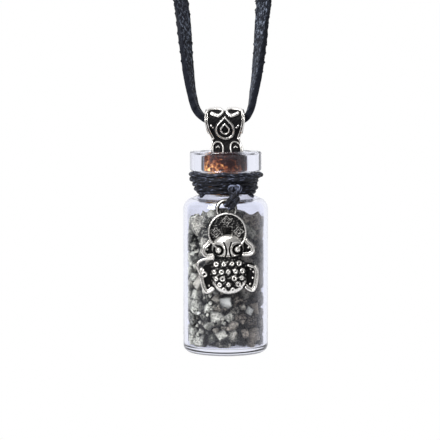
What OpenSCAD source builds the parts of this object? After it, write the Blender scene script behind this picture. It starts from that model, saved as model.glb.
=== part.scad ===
// Bottle pendant: a corked glass vial of mineral chips that hangs on a flat lace,
// with a cast bail in the cork and a small cast toad charm tied to the vial's neck.
// Millimetres. +X is to the right, +Y away from the viewer, +Z up.
// The origin is where the nape of the neck bears on the clasp, under the top of the loop.

/* [Bottle] */
// Outer diameter of the glass body
bottle_d = 18; // [16:0.5:22]
// Height of the glass from its base to its rim
bottle_h = 43.2; // [40:0.2:56]
// Thickness of the glass wall
glass_wall = 0.8; // [0.6:0.05:1]
// Thickness of the glass base
glass_base = 1.8; // [1.2:0.1:2.6]
// Radius of the heel round the base
heel_r = 2; // [1:0.1:3]
// Height of the rounded shoulder
shoulder_h = 3.8; // [2.5:0.1:5]
// Diameter of the mouth, the same down through the neck
mouth_d = 9.4; // [8.6:0.1:10.2]
// Thickness of the glass in the neck
neck_wall = 0.6; // [0.5:0.05:1]
// Height of the glass neck between shoulder and rim
neck_h = 5.6; // [4.8:0.1:7]
// Outer diameter of the rim
rim_d = 15.2; // [14:0.2:17]
// Height of the rim
rim_h = 4.2; // [3:0.1:6]
// Radius of the rim's rounded edges
rim_round = 0.5; // [0.2:0.05:0.8]

/* [Cork] */
// Length of the cork
cork_len = 9.2; // [6:0.1:9.6]
// Depth of the cork's top below the rim
cork_sink = 0.4; // [0:0.1:1.5]
// Width of the bevel round the cork's ends
cork_bevel = 0.3; // [0.1:0.05:0.6]
// Clearance of the cork in the glass, and of the bail on the cork
fit_gap = 0.1; // [0.05:0.01:0.2]

/* [Chips] */
// Distance between the middles of neighbouring chips
chip_pitch = 2.9; // [2.8:0.05:3.4]
// Smallest clearance between two chips, and between a chip and the glass
chip_gap = 0.1; // [0.1:0.01:0.2]
// Clearance of the topmost chip under the cork
chip_headroom = 0.2; // [0.2:0.1:1.5]
// Smallest reach of a chip's corner, as a share of its largest
chip_corner_min = 0.84; // [0.75:0.01:0.95]
// How far chips stand above their layer at most, as a share of their distance
chip_jitter = 0.1; // [0:0.01:0.1]

/* [Bail] */
// Height of the bail above the cork
bail_h = 9.4; // [8.8:0.1:12]
// Width of the bail across its widest place
bail_w = 8.5; // [7.5:0.1:9.5]
// Thickness of the wall round the lace
bail_wall = 0.8; // [0.6:0.05:1.2]
// Diameter of the hole that the lace runs through
bail_bore_d = 4.2; // [4:0.1:5]
// Depth of the bail's foot, front to back
bail_foot_depth = 5.2; // [4:0.1:6]
// Depth of the bail's waist, front to back
bail_waist_depth = 3.4; // [2.8:0.1:4.4]
// Height of the raised ornament
bail_relief = 0.3; // [0.15:0.05:0.5]
// Width of the raised lines of the ornament
bail_line = 0.42; // [0.3:0.02:0.6]
// Diameter of the post in the cork
post_d = 1.6; // [1.2:0.1:2.4]
// Length of the post in the cork
post_len = 6.5; // [4:0.1:8]

/* [Lace] */
// Width of the flat lace
lace_w = 3; // [2.5:0.1:3.2]
// Thickness of the flat lace
lace_t = 1.5; // [1.2:0.1:1.6]
// How far the bore's middle lies above the lace's lowest point
lace_rise = 0.3; // [0:0.05:0.5]

/* [Clasp] */
// Length of the clasp
clasp_len = 24; // [20:1:30]
// Diameter of the clasp's barrel
clasp_d = 6; // [5:0.1:7]
// Diameter of the clasp's end caps
clasp_cap_d = 4.6; // [4:0.1:5]
// Length of each end cap
clasp_cap_len = 5; // [3:0.5:7]
// Bevel of the clasp's edges
clasp_bevel = 0.5; // [0.2:0.05:0.8]

/* [Thread] */
// Diameter of the waxed thread wound round the neck
wind_d = 1.15; // [1:0.05:1.3]
// Number of turns seen on the outside of the winding
wind_turns = 5; // [4:1:5]
// How far the topmost turn stands out past the rim
wind_proud = 0.2; // [0:0.05:0.6]
// Diameter of the thread that carries the charm
tie_d = 0.9; // [0.7:0.05:0.92]
// Diameter of the knot on the winding
knot_d = 2.5; // [2:0.1:3]
// Place of the knot to the right of the vial's axis
knot_x = 1.9; // [1:0.1:2.6]

/* [Charm] */
// Height of the charm from its lowest point to the top of its ring
charm_h = 20; // [18:0.1:23]
// Width of the toad's body
body_w = 7.8; // [7:0.1:9]
// Height of the toad's body
body_h = 7.7; // [7:0.1:8.6]
// Width of the toad's head
head_w = 6.7; // [6:0.1:7.6]
// Diameter of the coin on the toad's back
coin_d = 8.2; // [7.6:0.1:9]
// Width of the square hole in the coin
coin_hole = 1.7; // [1.2:0.1:2.2]
// Outer diameter of the charm's ring
ring_d = 4.6; // [4.2:0.1:5]
// Thickness of the ring's wire
ring_wire = 0.8; // [0.6:0.02:0.84]
// Thickness of the charm's flat ground
charm_plate = 0.9; // [0.6:0.05:1.2]
// Height of the body's dome above the ground
body_dome = 1.5; // [1:0.1:2]
// Height of the head's dome above the ground
head_dome = 1.7; // [1.2:0.1:2.2]
// Outer diameter of each wart
wart_d = 1.1; // [0.8:0.05:1.2]
// Diameter of each eye
eye_d = 1.5; // [1.2:0.05:1.7]
// Thickness of the legs' ridges
leg_d = 0.56; // [0.5:0.02:0.8]
// Clearance between the charm and the glass
charm_gap = 0.3; // [0.2:0.05:0.6]
// Sideways lean of the hanging charm in degrees
charm_lean = 2.5; // [0:0.5:5]

/* [Hidden] */
$fn = 64;

// Centreline of the lace: across, up, and turn of its flat side in degrees (0 faces up and down)
lace_route = [
    [-12, 3, 180], [-23, 1.8, 180], [-35.5, -3.4, 170], [-47, -12.8, 160], [-56, -26, 150],
    [-61, -42, 140], [-60, -59, 130], [-53, -74, 120], [-42, -88, 112], [-30, -101.7, 102],
    [-17.5, -115, 90], [-11.2, -127.3, 84], [-9.2, -137.5, 66], [-8.4, -145.5, 40], [-7.7, -151.8, 24],
    [-7.1, -155.4, 16], [-6.3, -158.2, 11], [-4.8, -160.1, 4], [-2.6, -161, 0], [0, -161.3, 0],
    [2.6, -161, 0], [4.4, -160.1, 0], [5.4, -158.1, 4], [5.9, -155.4, 12], [6.5, -151.8, 22],
    [7.2, -145.5, 36], [7.9, -137.5, 63], [9.6, -127.3, 84], [15.8, -115, 90], [28, -101.7, 102],
    [42, -88, 112], [53, -74, 120], [60, -59, 130], [61, -42, 140], [56, -26, 150],
    [47, -12.8, 160], [35.5, -3.4, 170], [23, 1.8, 180], [12, 3, 180]
];
lace_ring_step = 8;
lace_corner = 0.28 * lace_t;
lace_low = min([for (p = lace_route) p[1]]);

// Levels above the vial's base
shoulder_top = bottle_h - rim_h - neck_h;
shoulder_low = shoulder_top - shoulder_h;
rim_low = bottle_h - rim_h;
cork_top = bottle_h - cork_sink;
cork_low = cork_top - cork_len;
bail_low = cork_top + fit_gap;
bail_r = bail_bore_d / 2 + bail_wall;
bore_up = bail_low + bail_h - bail_r;
base_z = lace_low + lace_rise - bore_up;

// Glass
bottle_r = bottle_d / 2;
inner_r = bottle_r - glass_wall;
mouth_r = mouth_d / 2;
neck_r = mouth_r + neck_wall;
arc_steps = 10;

// Chips
chip_r = (chip_pitch - chip_gap) / 2;
ring_1_r = inner_r - chip_gap - chip_r;
ring_2_r = ring_1_r - chip_pitch;
ring_1_count = floor(180 / asin(chip_pitch / 2 / ring_1_r));
ring_2_count = floor(180 / asin(chip_pitch / 2 / ring_2_r));
chip_low = glass_base + chip_gap + chip_r;
heap_top = cork_low - chip_headroom - chip_r;
layer_rise = 0.983 * chip_pitch;
layer_count = floor((min(shoulder_low, heap_top - chip_pitch) - chip_low) / layer_rise) + 1;
// The heap's ring clears the lower edge of the mouth
heap_drop = max(0, shoulder_top - glass_wall - heap_top);
heap_r = min(ring_2_r, mouth_r - sqrt(max(0, pow(chip_r + chip_gap, 2) - pow(heap_drop, 2))));
heap_count = floor(180 / asin(min(1, chip_pitch / 2 / heap_r)));

// Charm
charm_y = -(bottle_r + charm_gap);
ring_r = (ring_d - ring_wire) / 2;
ring_up = charm_h - ring_d / 2;
coin_up = ring_up - 0.32 * ring_r - coin_d / 2;
head_up = body_h + 0.24 * head_w;
charm_top = shoulder_top + 0.3;
ring_back = 0.6;
// Depth below the flat back from which the charm's forms rise before the back is cut
sunk = 0.5;
ring_z = charm_top - ring_d / 2;
// Direction from the ring's middle to where the thread crosses its wire
tie_turn = 50;
// Clearance of that thread round the wire
tie_clear = 0.18;

function lerp(a, b, t) = a + (b - a) * t;
function mod1(v) = v - floor(v);
function noise(i, k) = mod1(sin(i * 127.1 + k * 311.7 + 40) * 4375.85);
function arc(cx, cy, rx, ry, a0, a1, n) =
    [for (i = [0:n]) let (a = lerp(a0, a1, i / n)) [cx + rx * cos(a), cy + ry * sin(a)]];
function curve(a, b, c, d, t) =
    0.5 * (2 * b + (c - a) * t + (2 * a - 5 * b + 4 * c - d) * t * t + (3 * b - a - 3 * c + d) * t * t * t);
function smooth(p, n) = [
    for (i = [0:len(p) - 2])
        let (a = p[max(i - 1, 0)], d = p[min(i + 2, len(p) - 1)])
            for (k = [0:n - 1]) curve(a, p[i], p[i + 1], d, k / n),
    p[len(p) - 1]
];
function path_fine(p, step) = [
    for (i = [0:len(p) - 2])
        let (a = p[max(i - 1, 0)], d = p[min(i + 2, len(p) - 1)], n = ceil(norm(flat(p[i + 1] - p[i])) / step))
            for (k = [0:n - 1]) curve(a, p[i], p[i + 1], d, k / n),
    p[len(p) - 1]
];
function flat(p) = [p[0], p[1]];
function unit(v) = v / norm(v);
function band(r, t, a0, a1, n) =
    concat(arc(0, 0, r + t / 2, r + t / 2, a0, a1, n), arc(0, 0, r - t / 2, r - t / 2, a1, a0, n));

// A closed tube: rings of points, each as long as the next, joined by triangles and capped
module skin(rings) {
    m = len(rings[0]);
    n = len(rings);
    sides = [
        for (i = [0:n - 2])
            for (j = [0:m - 1])
                let (a = i * m + j, b = i * m + (j + 1) % m) each [[a, b + m, b], [a, a + m, b + m]]
    ];
    caps = [
        [for (j = [0:m - 1]) j],
        [for (j = [m - 1:-1:0]) (n - 1) * m + j]
    ];
    polyhedron([for (r = rings) each r], concat(sides, caps));
}

// Round thread with eight sides through points in space, all in a plane square to the direction given
module thread(points, d, square_to) {
    n = len(points);
    rings = [
        for (i = [0:n - 1])
            let (
                t = unit(points[min(i + 1, n - 1)] - points[max(i - 1, 0)]),
                u = unit(square_to - (square_to * t) * t),
                v = cross(t, u)
            )
                [for (j = [0:7]) points[i] + d / 2 * (cos(45 * j) * u + sin(45 * j) * v)]
    ];
    skin(rings);
}

// Everything that hangs stands on the vial's base
module hang() {
    translate([0, 0, base_z]) children();
}

// The lace's section, round the lace's middle: along its width and through its thickness
function lace_section() =
    let (w = lace_w / 2, t = lace_t / 2, c = lace_corner)
        [[w, c - t], [w, t - c], [w - c, t], [c - w, t], [-w, t - c], [-w, c - t], [c - w, -t], [w - c, -t]];

module neck_cord() {
    color("#1d2126") {
        line = path_fine(lace_route, lace_ring_step);
        n = len(line);
        rings = [
            for (i = [0:n - 1])
                let (
                    d = line[min(i + 1, n - 1)] - line[max(i - 1, 0)],
                    along = i == 0 || i == n - 1 ? [-1, 0] : unit(flat(d)),
                    across = [-along[1], 0, along[0]],
                    a = line[i][2]
                )
                    [
                        for (s = lace_section())
                            [line[i][0], 0, line[i][1]]
                                + s[0] * (cos(a) * [0, 1, 0] + sin(a) * across)
                                + s[1] * (cos(a) * across - sin(a) * [0, 1, 0])
                    ]
        ];
        skin(rings);
    }
}

module clasp() {
    r = clasp_d / 2;
    cap_r = clasp_cap_d / 2;
    half = clasp_len / 2;
    step = half - clasp_cap_len;
    b = clasp_bevel;
    color("#8d9093")
        translate([0, 0, r])
            rotate([0, 90, 0])
                rotate_extrude()
                    polygon([
                        [0, -half], [cap_r - b, -half], [cap_r, b - half], [cap_r, -step], [r - b, -step],
                        [r, b - step], [r, step - b], [r - b, step], [cap_r, step], [cap_r, half - b],
                        [cap_r - b, half], [0, half]
                    ]);
}

// Half width of the bail's front outline: share of its height, share of half its width
bail_outline = [
    [0, 0.8], [0.05, 0.82], [0.14, 0.79], [0.28, 0.7], [0.38, 0.77], [0.5, 0.88], [0.68, 0.99], [0.8, 1],
    [0.9, 0.96], [0.965, 0.86], [0.995, 0.66], [1, 0.5], [0.985, 0.3], [0.95, 0.1], [0.94, 0]
];
// Half depth of the bail's side outline below its ring: share of the bore's height, share from waist to foot
bail_side = [[0, 1], [0.1, 0.95], [0.2, 0.55], [0.32, 0.08], [0.45, 0], [0.6, 0.12], [0.75, 0.6], [0.9, 1.3]];

module bail_front() {
    right = [for (p = smooth(bail_outline, 4)) [p[1] * bail_w / 2, p[0] * bail_h]];
    left = [for (i = [len(right) - 2:-1:1]) [-right[i][0], right[i][1]]];
    polygon(concat(right, left, [[-right[0][0], 0]]));
}

module bail_profile(more) {
    up = bail_h - bail_r;
    foot = bail_foot_depth / 2;
    waist = bail_waist_depth / 2;
    half = [for (p = smooth(bail_side, 3)) [lerp(waist, foot, p[1]) + more, p[0] * up]];
    translate([0, up]) circle(bail_r + more);
    polygon(concat(half, [for (i = [len(half) - 1:-1:0]) [-half[i][0], half[i][1]]]));
}

// Teardrop ring of the given width and height, its round end at the origin
module drop_ring(w, h, t) {
    difference() {
        drop(w / 2, h);
        drop(w / 2 - t, h - 2.2 * t);
    }
}

module drop(r, h) {
    a = asin(r / (h - r));
    polygon(concat([[0, h - r]], arc(0, 0, r, r, 180 - a, 360 + a, 24)));
}

// Raised ornament of the bail's front: a double teardrop, four curls and a line along each side
module bail_ornament() {
    t = bail_line;
    translate([0, 0.46 * bail_h]) drop_ring(0.52 * bail_w, 0.6 * bail_h, t);
    translate([0, 0.49 * bail_h]) drop_ring(0.25 * bail_w, 0.3 * bail_h, t);
    for (side = [-1, 1]) {
        scale([side, 1]) {
            translate([0.2 * bail_w, 0.14 * bail_h]) {
                polygon(band(0.12 * bail_w, t, -60, 200, 20));
                circle(0.5 * t);
            }
            translate([0.22 * bail_w, 0.87 * bail_h]) {
                polygon(band(0.15 * bail_w, t, 20, 250, 20));
                translate([0.03 * bail_w, 0]) circle(0.9 * t);
            }
        }
    }
    difference() {
        bail_front();
        for (side = [-1, 1]) translate([side * -1.5 * t, 0]) intersection() {
            bail_front();
            translate([side < 0 ? -bail_w : 0, 0]) square([bail_w, 2 * bail_h]);
        }
        translate([-2 * t, 0]) square([4 * t, bail_h]);
    }
}

module bail_bore() {
    reach = bail_w / 2 + 1;
    rotate([0, 90, 0]) {
        cylinder(r = bail_bore_d / 2, h = 2 * reach, center = true);
        for (side = [0, 1])
            mirror([0, 0, side])
                translate([0, 0, 0.3 * bail_w])
                    cylinder(r1 = bail_bore_d / 2, r2 = bail_bore_d / 2 + 0.9, h = reach - 0.3 * bail_w);
    }
}

module bail() {
    color("#9a9a98")
        hang()
            translate([0, 0, bail_low]) {
                difference() {
                    union() {
                        intersection() {
                            rotate([90, 0, 0])
                                linear_extrude(height = 4 * bail_r, center = true) bail_front();
                            rotate([90, 0, 90])
                                linear_extrude(height = 2 * bail_w, center = true) bail_profile(0);
                        }
                        for (back = [0, 1])
                            mirror([0, back, 0])
                                intersection() {
                                    rotate([90, 0, 0]) linear_extrude(height = 4 * bail_r) bail_ornament();
                                    rotate([90, 0, 90])
                                        linear_extrude(height = 2 * bail_w, center = true)
                                            bail_profile(bail_relief);
                                }
                    }
                    translate([0, 0, bail_h - bail_r]) bail_bore();
                }
                translate([0, 0, -post_len]) cylinder(d = post_d, h = post_len + 1);
            }
}

module cork() {
    r = mouth_r - fit_gap;
    b = cork_bevel;
    color("#8a5230")
        hang()
            difference() {
                rotate_extrude()
                    polygon([
                        [0, cork_low], [r - b, cork_low], [r, cork_low + b], [r, cork_top - b],
                        [r - b, cork_top], [0, cork_top]
                    ]);
                translate([0, 0, bail_low - post_len - fit_gap])
                    cylinder(d = post_d + 2 * fit_gap, h = post_len + 1);
            }
}

module bottle() {
    neck_in = shoulder_h - glass_wall;
    outside = concat(
        [[0, 0]],
        arc(bottle_r - heel_r, heel_r, heel_r, heel_r, -90, 0, arc_steps),
        arc(neck_r, shoulder_low, bottle_r - neck_r, shoulder_h, 0, 90, arc_steps),
        [[neck_r, rim_low]],
        arc(rim_d / 2 - rim_round, rim_low + rim_round, rim_round, rim_round, -90, 0, 4),
        arc(rim_d / 2 - rim_round, bottle_h - rim_round, rim_round, rim_round, 0, 90, 4)
    );
    inside = concat(
        arc(mouth_r + rim_round, bottle_h - rim_round, rim_round, rim_round, 90, 180, 4),
        [[mouth_r, shoulder_top]],
        arc(mouth_r, shoulder_low, inner_r - mouth_r, neck_in, 90, 0, arc_steps),
        arc(inner_r - heel_r / 2, glass_base + heel_r / 2, heel_r / 2, heel_r / 2, 0, -90, 5),
        [[0, glass_base]]
    );
    color("#dfe8ee", 0.35) hang() rotate_extrude() polygon(concat(outside, inside));
}

// Middles of a cube's twelve edges, one unit out, numbered by the sides that each edge joins
chip_points = [
    for (x = [-1, 1], y = [-1, 1]) unit([x, y, 0]),
    for (y = [-1, 1], z = [-1, 1]) unit([0, y, z]),
    for (x = [-1, 1], z = [-1, 1]) unit([x, 0, z])
];
function side_faces(q, flip) =
    flip ? [[q[2], q[1], q[0]], [q[3], q[2], q[0]]] : [[q[0], q[1], q[2]], [q[0], q[2], q[3]]];
// The eight cut corners, then the six sides
chip_faces = concat(
    [
        for (x = [0, 1], y = [0, 1], z = [0, 1])
            let (f = [2 * x + y, 4 + 2 * y + z, 8 + 2 * x + z])
                (x + y + z) % 2 == 0 ? f : [f[2], f[1], f[0]]
    ],
    [for (s = [0, 1]) each side_faces([2 * s, 9 + 2 * s, 1 + 2 * s, 8 + 2 * s], s == 0)],
    [for (s = [0, 1]) each side_faces([s, 5 + 2 * s, 2 + s, 4 + 2 * s], s == 1)],
    [for (s = [0, 1]) each side_faces([4 + s, 10 + s, 6 + s, 8 + s], s == 1)]
);

// Middles of all chips: two rings and a middle chip in each layer, and a heap of one ring and a middle chip
chip_places = [
    for (n = [0:layer_count - 1]) let (z = chip_low + n * layer_rise) each concat(
        [for (i = [0:ring_1_count - 1]) spot(ring_1_r, 360 * (i + n / 2) / ring_1_count, z + lift(n, i))],
        [for (i = [0:ring_2_count - 1]) spot(ring_2_r, 360 * (i + n / 2) / ring_2_count, z + lift(n, i + 20))],
        [spot(chip_gap, 180 * n, z)]
    ),
    for (i = [0:heap_count - 1]) spot(heap_r, 360 * i / heap_count, heap_top),
    spot(0, 0, heap_top)
];

function spot(r, a, z) = [r * cos(a), r * sin(a), z];
function lift(n, i) = n == layer_count - 1 ? 0 : chip_jitter * chip_pitch * noise(n, i);
function turned(p, a, b) =
    let (q = [p[0] * cos(a) - p[1] * sin(a), p[0] * sin(a) + p[1] * cos(a), p[2]])
        [q[0], q[1] * cos(b) - q[2] * sin(b), q[1] * sin(b) + q[2] * cos(b)];

module chips() {
    color("#6d6a5c")
        hang()
            for (i = [0:len(chip_places) - 1])
                let (
                    points = [
                        for (k = [0:11])
                            chip_places[i]
                                + chip_r * lerp(chip_corner_min, 1, noise(i, k))
                                    * turned(chip_points[k], 360 * noise(i, 20), 180 * noise(i, 30))
                    ]
                )
                    polyhedron(points, chip_faces);
}

// Outer radius of the winding, from its topmost turn to its lowest, between the neck's and the rim's
wind_shares = [1, 0.95, 0.73, 0.42, 0.1];

// Where the outside of one turn meets the next one's: the angle round each of the two
function turn_low(a, b) = atan2(b[1] - a[1], b[0] - a[0]) + acos(min(1, norm(b - a) / wind_d));
function turn_high(a, b) = atan2(b[1] - a[1], b[0] - a[0]) + 180 - acos(min(1, norm(b - a) / wind_d));

module neck_winding() {
    last = wind_turns - 1;
    core_r = neck_r + fit_gap;
    low_r = core_r + 0.55 * wind_d;
    step = (neck_h - 2 * fit_gap - wind_d) / last;
    turns = [
        for (i = [0:last]) [
            lerp(low_r, rim_d / 2 + wind_proud, wind_shares[i]) - wind_d / 2,
            rim_low - fit_gap - wind_d / 2 - i * step
        ]
    ];
    outside = [
        for (i = [0:last])
            let (
                high = i == 0 ? 90 : turn_high(turns[i - 1], turns[i]),
                low = i == last ? -90 : turn_low(turns[i], turns[i + 1])
            )
                each arc(turns[i][0], turns[i][1], wind_d / 2, wind_d / 2, high, low, 6)
    ];
    color("#23262d")
        hang()
            rotate_extrude()
                polygon(concat(outside, [[core_r, outside[len(outside) - 1][1]], [core_r, outside[0][1]]]));
}

module tie() {
    wire = [ring_r * cos(tie_turn), ring_r * sin(tie_turn)];
    out = [cos(tie_turn), 0, sin(tie_turn)];
    beside = [-sin(tie_turn), 0, cos(tie_turn)];
    ring_y = charm_y - ring_back;
    centre = [wire[0], ring_y, ring_z + wire[1]];
    reach = (ring_wire + tie_d) / 2 + tie_clear;
    knot_z = shoulder_top + 0.34 * neck_h;
    wind_r = lerp(neck_r, rim_d / 2, 0.55) + wind_d / 2;
    knot = [knot_x, -(wind_r + knot_d / 2), knot_z];
    color("#23262d")
        hang() {
            for (side = [-1, 1]) {
                shift = side * 0.51 * tie_d * beside;
                // From the knot down in front of the wire, under it, and up behind it
                loop = [
                    knot + [0, -0.5, 0.1] + shift,
                    knot + [-0.2, -0.95, -1.1] + shift,
                    centre + shift + [0, -reach, 0] + 0.9 * out,
                    centre + shift + [0, -reach, 0],
                    centre + shift + [0, -0.72 * reach, 0] - 0.78 * reach * out,
                    centre + shift - 1.1 * reach * out,
                    centre + shift + [0, 0.72 * reach, 0] - 0.78 * reach * out,
                    centre + shift + [0, reach, 0],
                    centre + shift + [0, reach, 0] + 0.9 * out,
                    knot + [-0.3, 0.4, -1] + shift,
                    knot + [0, 0.5, 0.1] + shift
                ];
                thread(smooth(loop, 2), tie_d, beside);
            }
            translate(knot) scale([1, 0.9, 0.86]) sphere(d = knot_d, $fn = 20);
        }
}

// Warts on the toad's back: share of the body's height, then places as shares of its half width
wart_rows = [
    [0.84, [-0.64, -0.22, 0.2, 0.6]],
    [0.63, [-0.76, -0.38, 0, 0.37, 0.74]],
    [0.44, [-0.7, -0.34, 0.3, 0.68]],
    [0.28, [-0.5, -0.02, 0.46]],
    [0.14, [-0.28, 0.2]]
];
// Ridges of the legs: shares of the body's half width and of the body's height
front_leg = [[1.02, 1.46], [1.28, 1.33], [1.38, 1.2], [1.2, 1.06], [0.8, 1.05]];
hind_leg = [[1.38, 0.72], [1.53, 0.62], [1.46, 0.24], [1.24, 0.09], [0.86, 0.18]];
// The same for the ground between legs and body
web_front = [[0.6, 1.52], [1.02, 1.46], [1.38, 1.2], [1.2, 1.04], [0.6, 1]];
web_hind = [[0.7, 0.83], [1.28, 0.74], [1.52, 0.62], [1.46, 0.24], [1.22, 0.08], [0.7, 0.14]];

function leg_spot(p) = [p[0] * body_w / 2, p[1] * body_h];

// Two round ridges side by side, the inner one lower, both down to the charm's back
module leg(points) {
    for (k = [0:1]) {
        inset = 1 - 0.13 * k;
        top = 0.8 * charm_plate + (0.5 - 0.3 * k) * leg_d;
        for (i = [0:len(points) - 2])
            hull()
                for (p = [points[i], points[i + 1]])
                    translate(leg_spot([lerp(0.9, p[0], inset), lerp(0.85, p[1], inset)])) {
                        translate([0, 0, -sunk]) cylinder(d = leg_d, h = top + sunk, $fn = 8);
                        translate([0, 0, top]) sphere(d = leg_d, $fn = 8);
                    }
    }
}

// One side of the toad: the ground between its limbs, the limbs and an eye
module toad_side() {
    translate([0, 0, -sunk])
        linear_extrude(height = 0.8 * charm_plate + sunk) {
            polygon([for (p = web_front) leg_spot(p)]);
            polygon([for (p = web_hind) leg_spot(p)]);
        }
    leg(front_leg);
    leg(hind_leg);
    // Foot at the end of the hind leg
    translate(concat(leg_spot([1.33, 0.59]), [-sunk]))
        cylinder(d = 1.9 * leg_d, h = sunk + charm_plate + 0.5 * leg_d, $fn = 12);
    // Eye: a ball in a round socket
    translate([0.31 * head_w, head_up, charm_plate + 0.5 * head_dome]) {
        translate([0, 0, 0.12 * head_dome])
            rotate_extrude($fn = 18) translate([0.85 * eye_d, 0]) circle(d = 0.3 * eye_d, $fn = 8);
        sphere(d = eye_d, $fn = 14);
        translate([0, 0, -head_dome]) cylinder(d = 1.7 * eye_d, h = head_dome, $fn = 18);
    }
}

// Round coin with a raised rim, a framed square hole and a boss with four pips on three sides of it
module coin() {
    r = coin_d / 2;
    face = charm_plate + 0.1;
    translate([0, coin_up, 0])
        difference() {
            union() {
                translate([0, 0, -sunk]) cylinder(r = r - 0.2, h = face + sunk, $fn = 48);
                difference() {
                    translate([0, 0, -sunk]) cylinder(r = r, h = face + sunk + 0.4, $fn = 48);
                    translate([0, 0, -2 * sunk]) cylinder(r = r - 0.45, h = face + 4 * sunk, $fn = 48);
                }
                translate([0, 0, -sunk])
                    linear_extrude(height = face + sunk + 0.3) square(coin_hole + 0.7, center = true);
                for (a = [0, 90, 180])
                    rotate(a)
                        translate([0.6 * r, 0, -sunk])
                            linear_extrude(height = face + sunk + 0.24) {
                                circle(d = 0.17 * r, $fn = 12);
                                for (k = [0:3])
                                    rotate(45 + 90 * k) translate([0.19 * r, 0]) circle(d = 0.11 * r, $fn = 8);
                            }
            }
            cube([coin_hole, coin_hole, 6 * face], center = true);
        }
}

// Round dome with two grooves down the brow
module head() {
    up = head_up + 0.02 * head_w;
    difference() {
        translate([0, up, 0])
            scale([head_w / 2, 0.42 * head_w, charm_plate + head_dome]) sphere(r = 1, $fn = 36);
        for (side = [-1, 1])
            translate([side * 0.06 * head_w, up - 0.15 * head_w, charm_plate + head_dome])
                scale([1, 3.2, 1]) sphere(d = 0.42, $fn = 10);
    }
}

// Shield with a domed front, and rings raised on it
module toad_back() {
    half = body_w / 2;
    middle = 0.56;
    translate([0, middle * body_h, 0])
        scale([half, middle * body_h, charm_plate + body_dome]) sphere(r = 1, $fn = 40);
    for (row = wart_rows, x = row[1])
        translate([x * half, row[0] * body_h, 0])
            wart(sqrt(max(0, 1 - x * x - pow((row[0] - middle) / middle, 2))));
}

// Raised ring whose top follows the dome, whose height here is a share of its full height
module wart(share) {
    top = (charm_plate + body_dome) * share + 0.22;
    difference() {
        translate([0, 0, -sunk]) cylinder(d1 = wart_d + 0.15, d2 = 0.85 * wart_d, h = top + sunk, $fn = 12);
        translate([0, 0, top - 0.3]) cylinder(d = 0.4 * wart_d, h = 1, $fn = 8);
    }
}

module toad_charm() {
    color("#8f908e")
        hang()
            translate([0, charm_y, charm_top])
                rotate([0, -charm_lean, 0])
                    translate([0, 0, -charm_h])
                        rotate([90, 0, 0])
                            intersection() {
                                union() {
                                    for (side = [0, 1]) mirror([side, 0, 0]) toad_side();
                                    toad_back();
                                    head();
                                    coin();
                                    translate([0, ring_up, ring_back])
                                        rotate_extrude($fn = 32)
                                            translate([ring_r, 0]) circle(d = ring_wire, $fn = 10);
                                }
                                // The back is cut flat
                                translate([-charm_h, -charm_h, 0]) cube(3 * charm_h);
                            }
}

neck_cord();
clasp();
bail();
cork();
bottle();
chips();
neck_winding();
tie();
toad_charm();
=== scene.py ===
"""Looks of the bottle pendant: a corked vial of pyrite chips on a suede lace, with cast bail and toad charm.

Lengths are millimetres until a mesh is written, which Blender holds in metres. +X is right, +Y away, +Z up.
"""

import logging
from collections.abc import Callable
from dataclasses import dataclass, field
from enum import Enum

import bmesh
import bpy
import numpy as np
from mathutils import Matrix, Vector


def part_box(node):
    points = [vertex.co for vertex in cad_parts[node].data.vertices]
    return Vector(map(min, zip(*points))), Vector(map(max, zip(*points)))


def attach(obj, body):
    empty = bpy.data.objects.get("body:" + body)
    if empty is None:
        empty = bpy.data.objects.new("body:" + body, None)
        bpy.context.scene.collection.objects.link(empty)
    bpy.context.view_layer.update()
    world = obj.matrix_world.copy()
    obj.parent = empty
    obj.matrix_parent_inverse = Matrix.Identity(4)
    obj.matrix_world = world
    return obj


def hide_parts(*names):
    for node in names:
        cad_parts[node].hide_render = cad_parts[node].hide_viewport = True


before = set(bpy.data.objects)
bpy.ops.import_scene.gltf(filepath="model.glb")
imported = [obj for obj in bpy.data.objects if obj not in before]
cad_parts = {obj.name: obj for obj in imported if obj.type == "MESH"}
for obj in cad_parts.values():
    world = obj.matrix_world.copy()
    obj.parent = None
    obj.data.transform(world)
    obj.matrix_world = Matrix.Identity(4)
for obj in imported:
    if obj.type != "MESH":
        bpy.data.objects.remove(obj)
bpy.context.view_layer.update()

LOG = logging.getLogger("bottle_pendant")
MM = 0.001
PENDANT = "pendant"
NECK_LOOP = "neck_loop"
# Numbers of the Mix node's colour sockets
MIX_A, MIX_B, MIX_COLOUR = 6, 7, 2

Array = np.ndarray
Material = bpy.types.Material
Socket = bpy.types.NodeSocket
Tree = bpy.types.NodeTree


def cad_box(node: str) -> tuple[Array, Array]:
    """Lowest and highest corner of a CAD node in millimetres."""
    low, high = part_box(node)
    return np.array(low) / MM, np.array(high) / MM


def unit(vectors: Array) -> Array:
    """Vectors of length one along the given ones."""
    return vectors / np.maximum(np.linalg.norm(vectors, axis=-1, keepdims=True), 1e-12)


def coords(*parts: Array | float) -> Array:
    """Coordinates side by side in a last axis, each spread to the shape of them all."""
    return np.stack(np.broadcast_arrays(*parts), axis=-1)


def angles(steps: int) -> Array:
    """Angles once round, the last a whole turn after the first."""
    return np.linspace(0, 2 * np.pi, steps + 1)


def step_up(low: float, high: float, value: Array) -> Array:
    """Smooth step: 3t^2 - 2t^3, where t runs from 0 at low to 1 at high."""
    t = np.clip((value - low) / (high - low), 0, 1)
    return t * t * (3 - 2 * t)


def wire(distance: Array, half_width: float, height: float) -> Array:
    """Round raised line: height times the square root of 1 - (distance / half width)^2."""
    return height * np.sqrt(np.clip(1 - (distance / half_width) ** 2, 0, 1))


def run_length(points: Array) -> Array:
    """Length along a line at each of its points, from 0 at the first: the gaps between them, added up."""
    return np.concatenate([[0], np.cumsum(np.linalg.norm(np.diff(points, axis=0), axis=1))])


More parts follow.
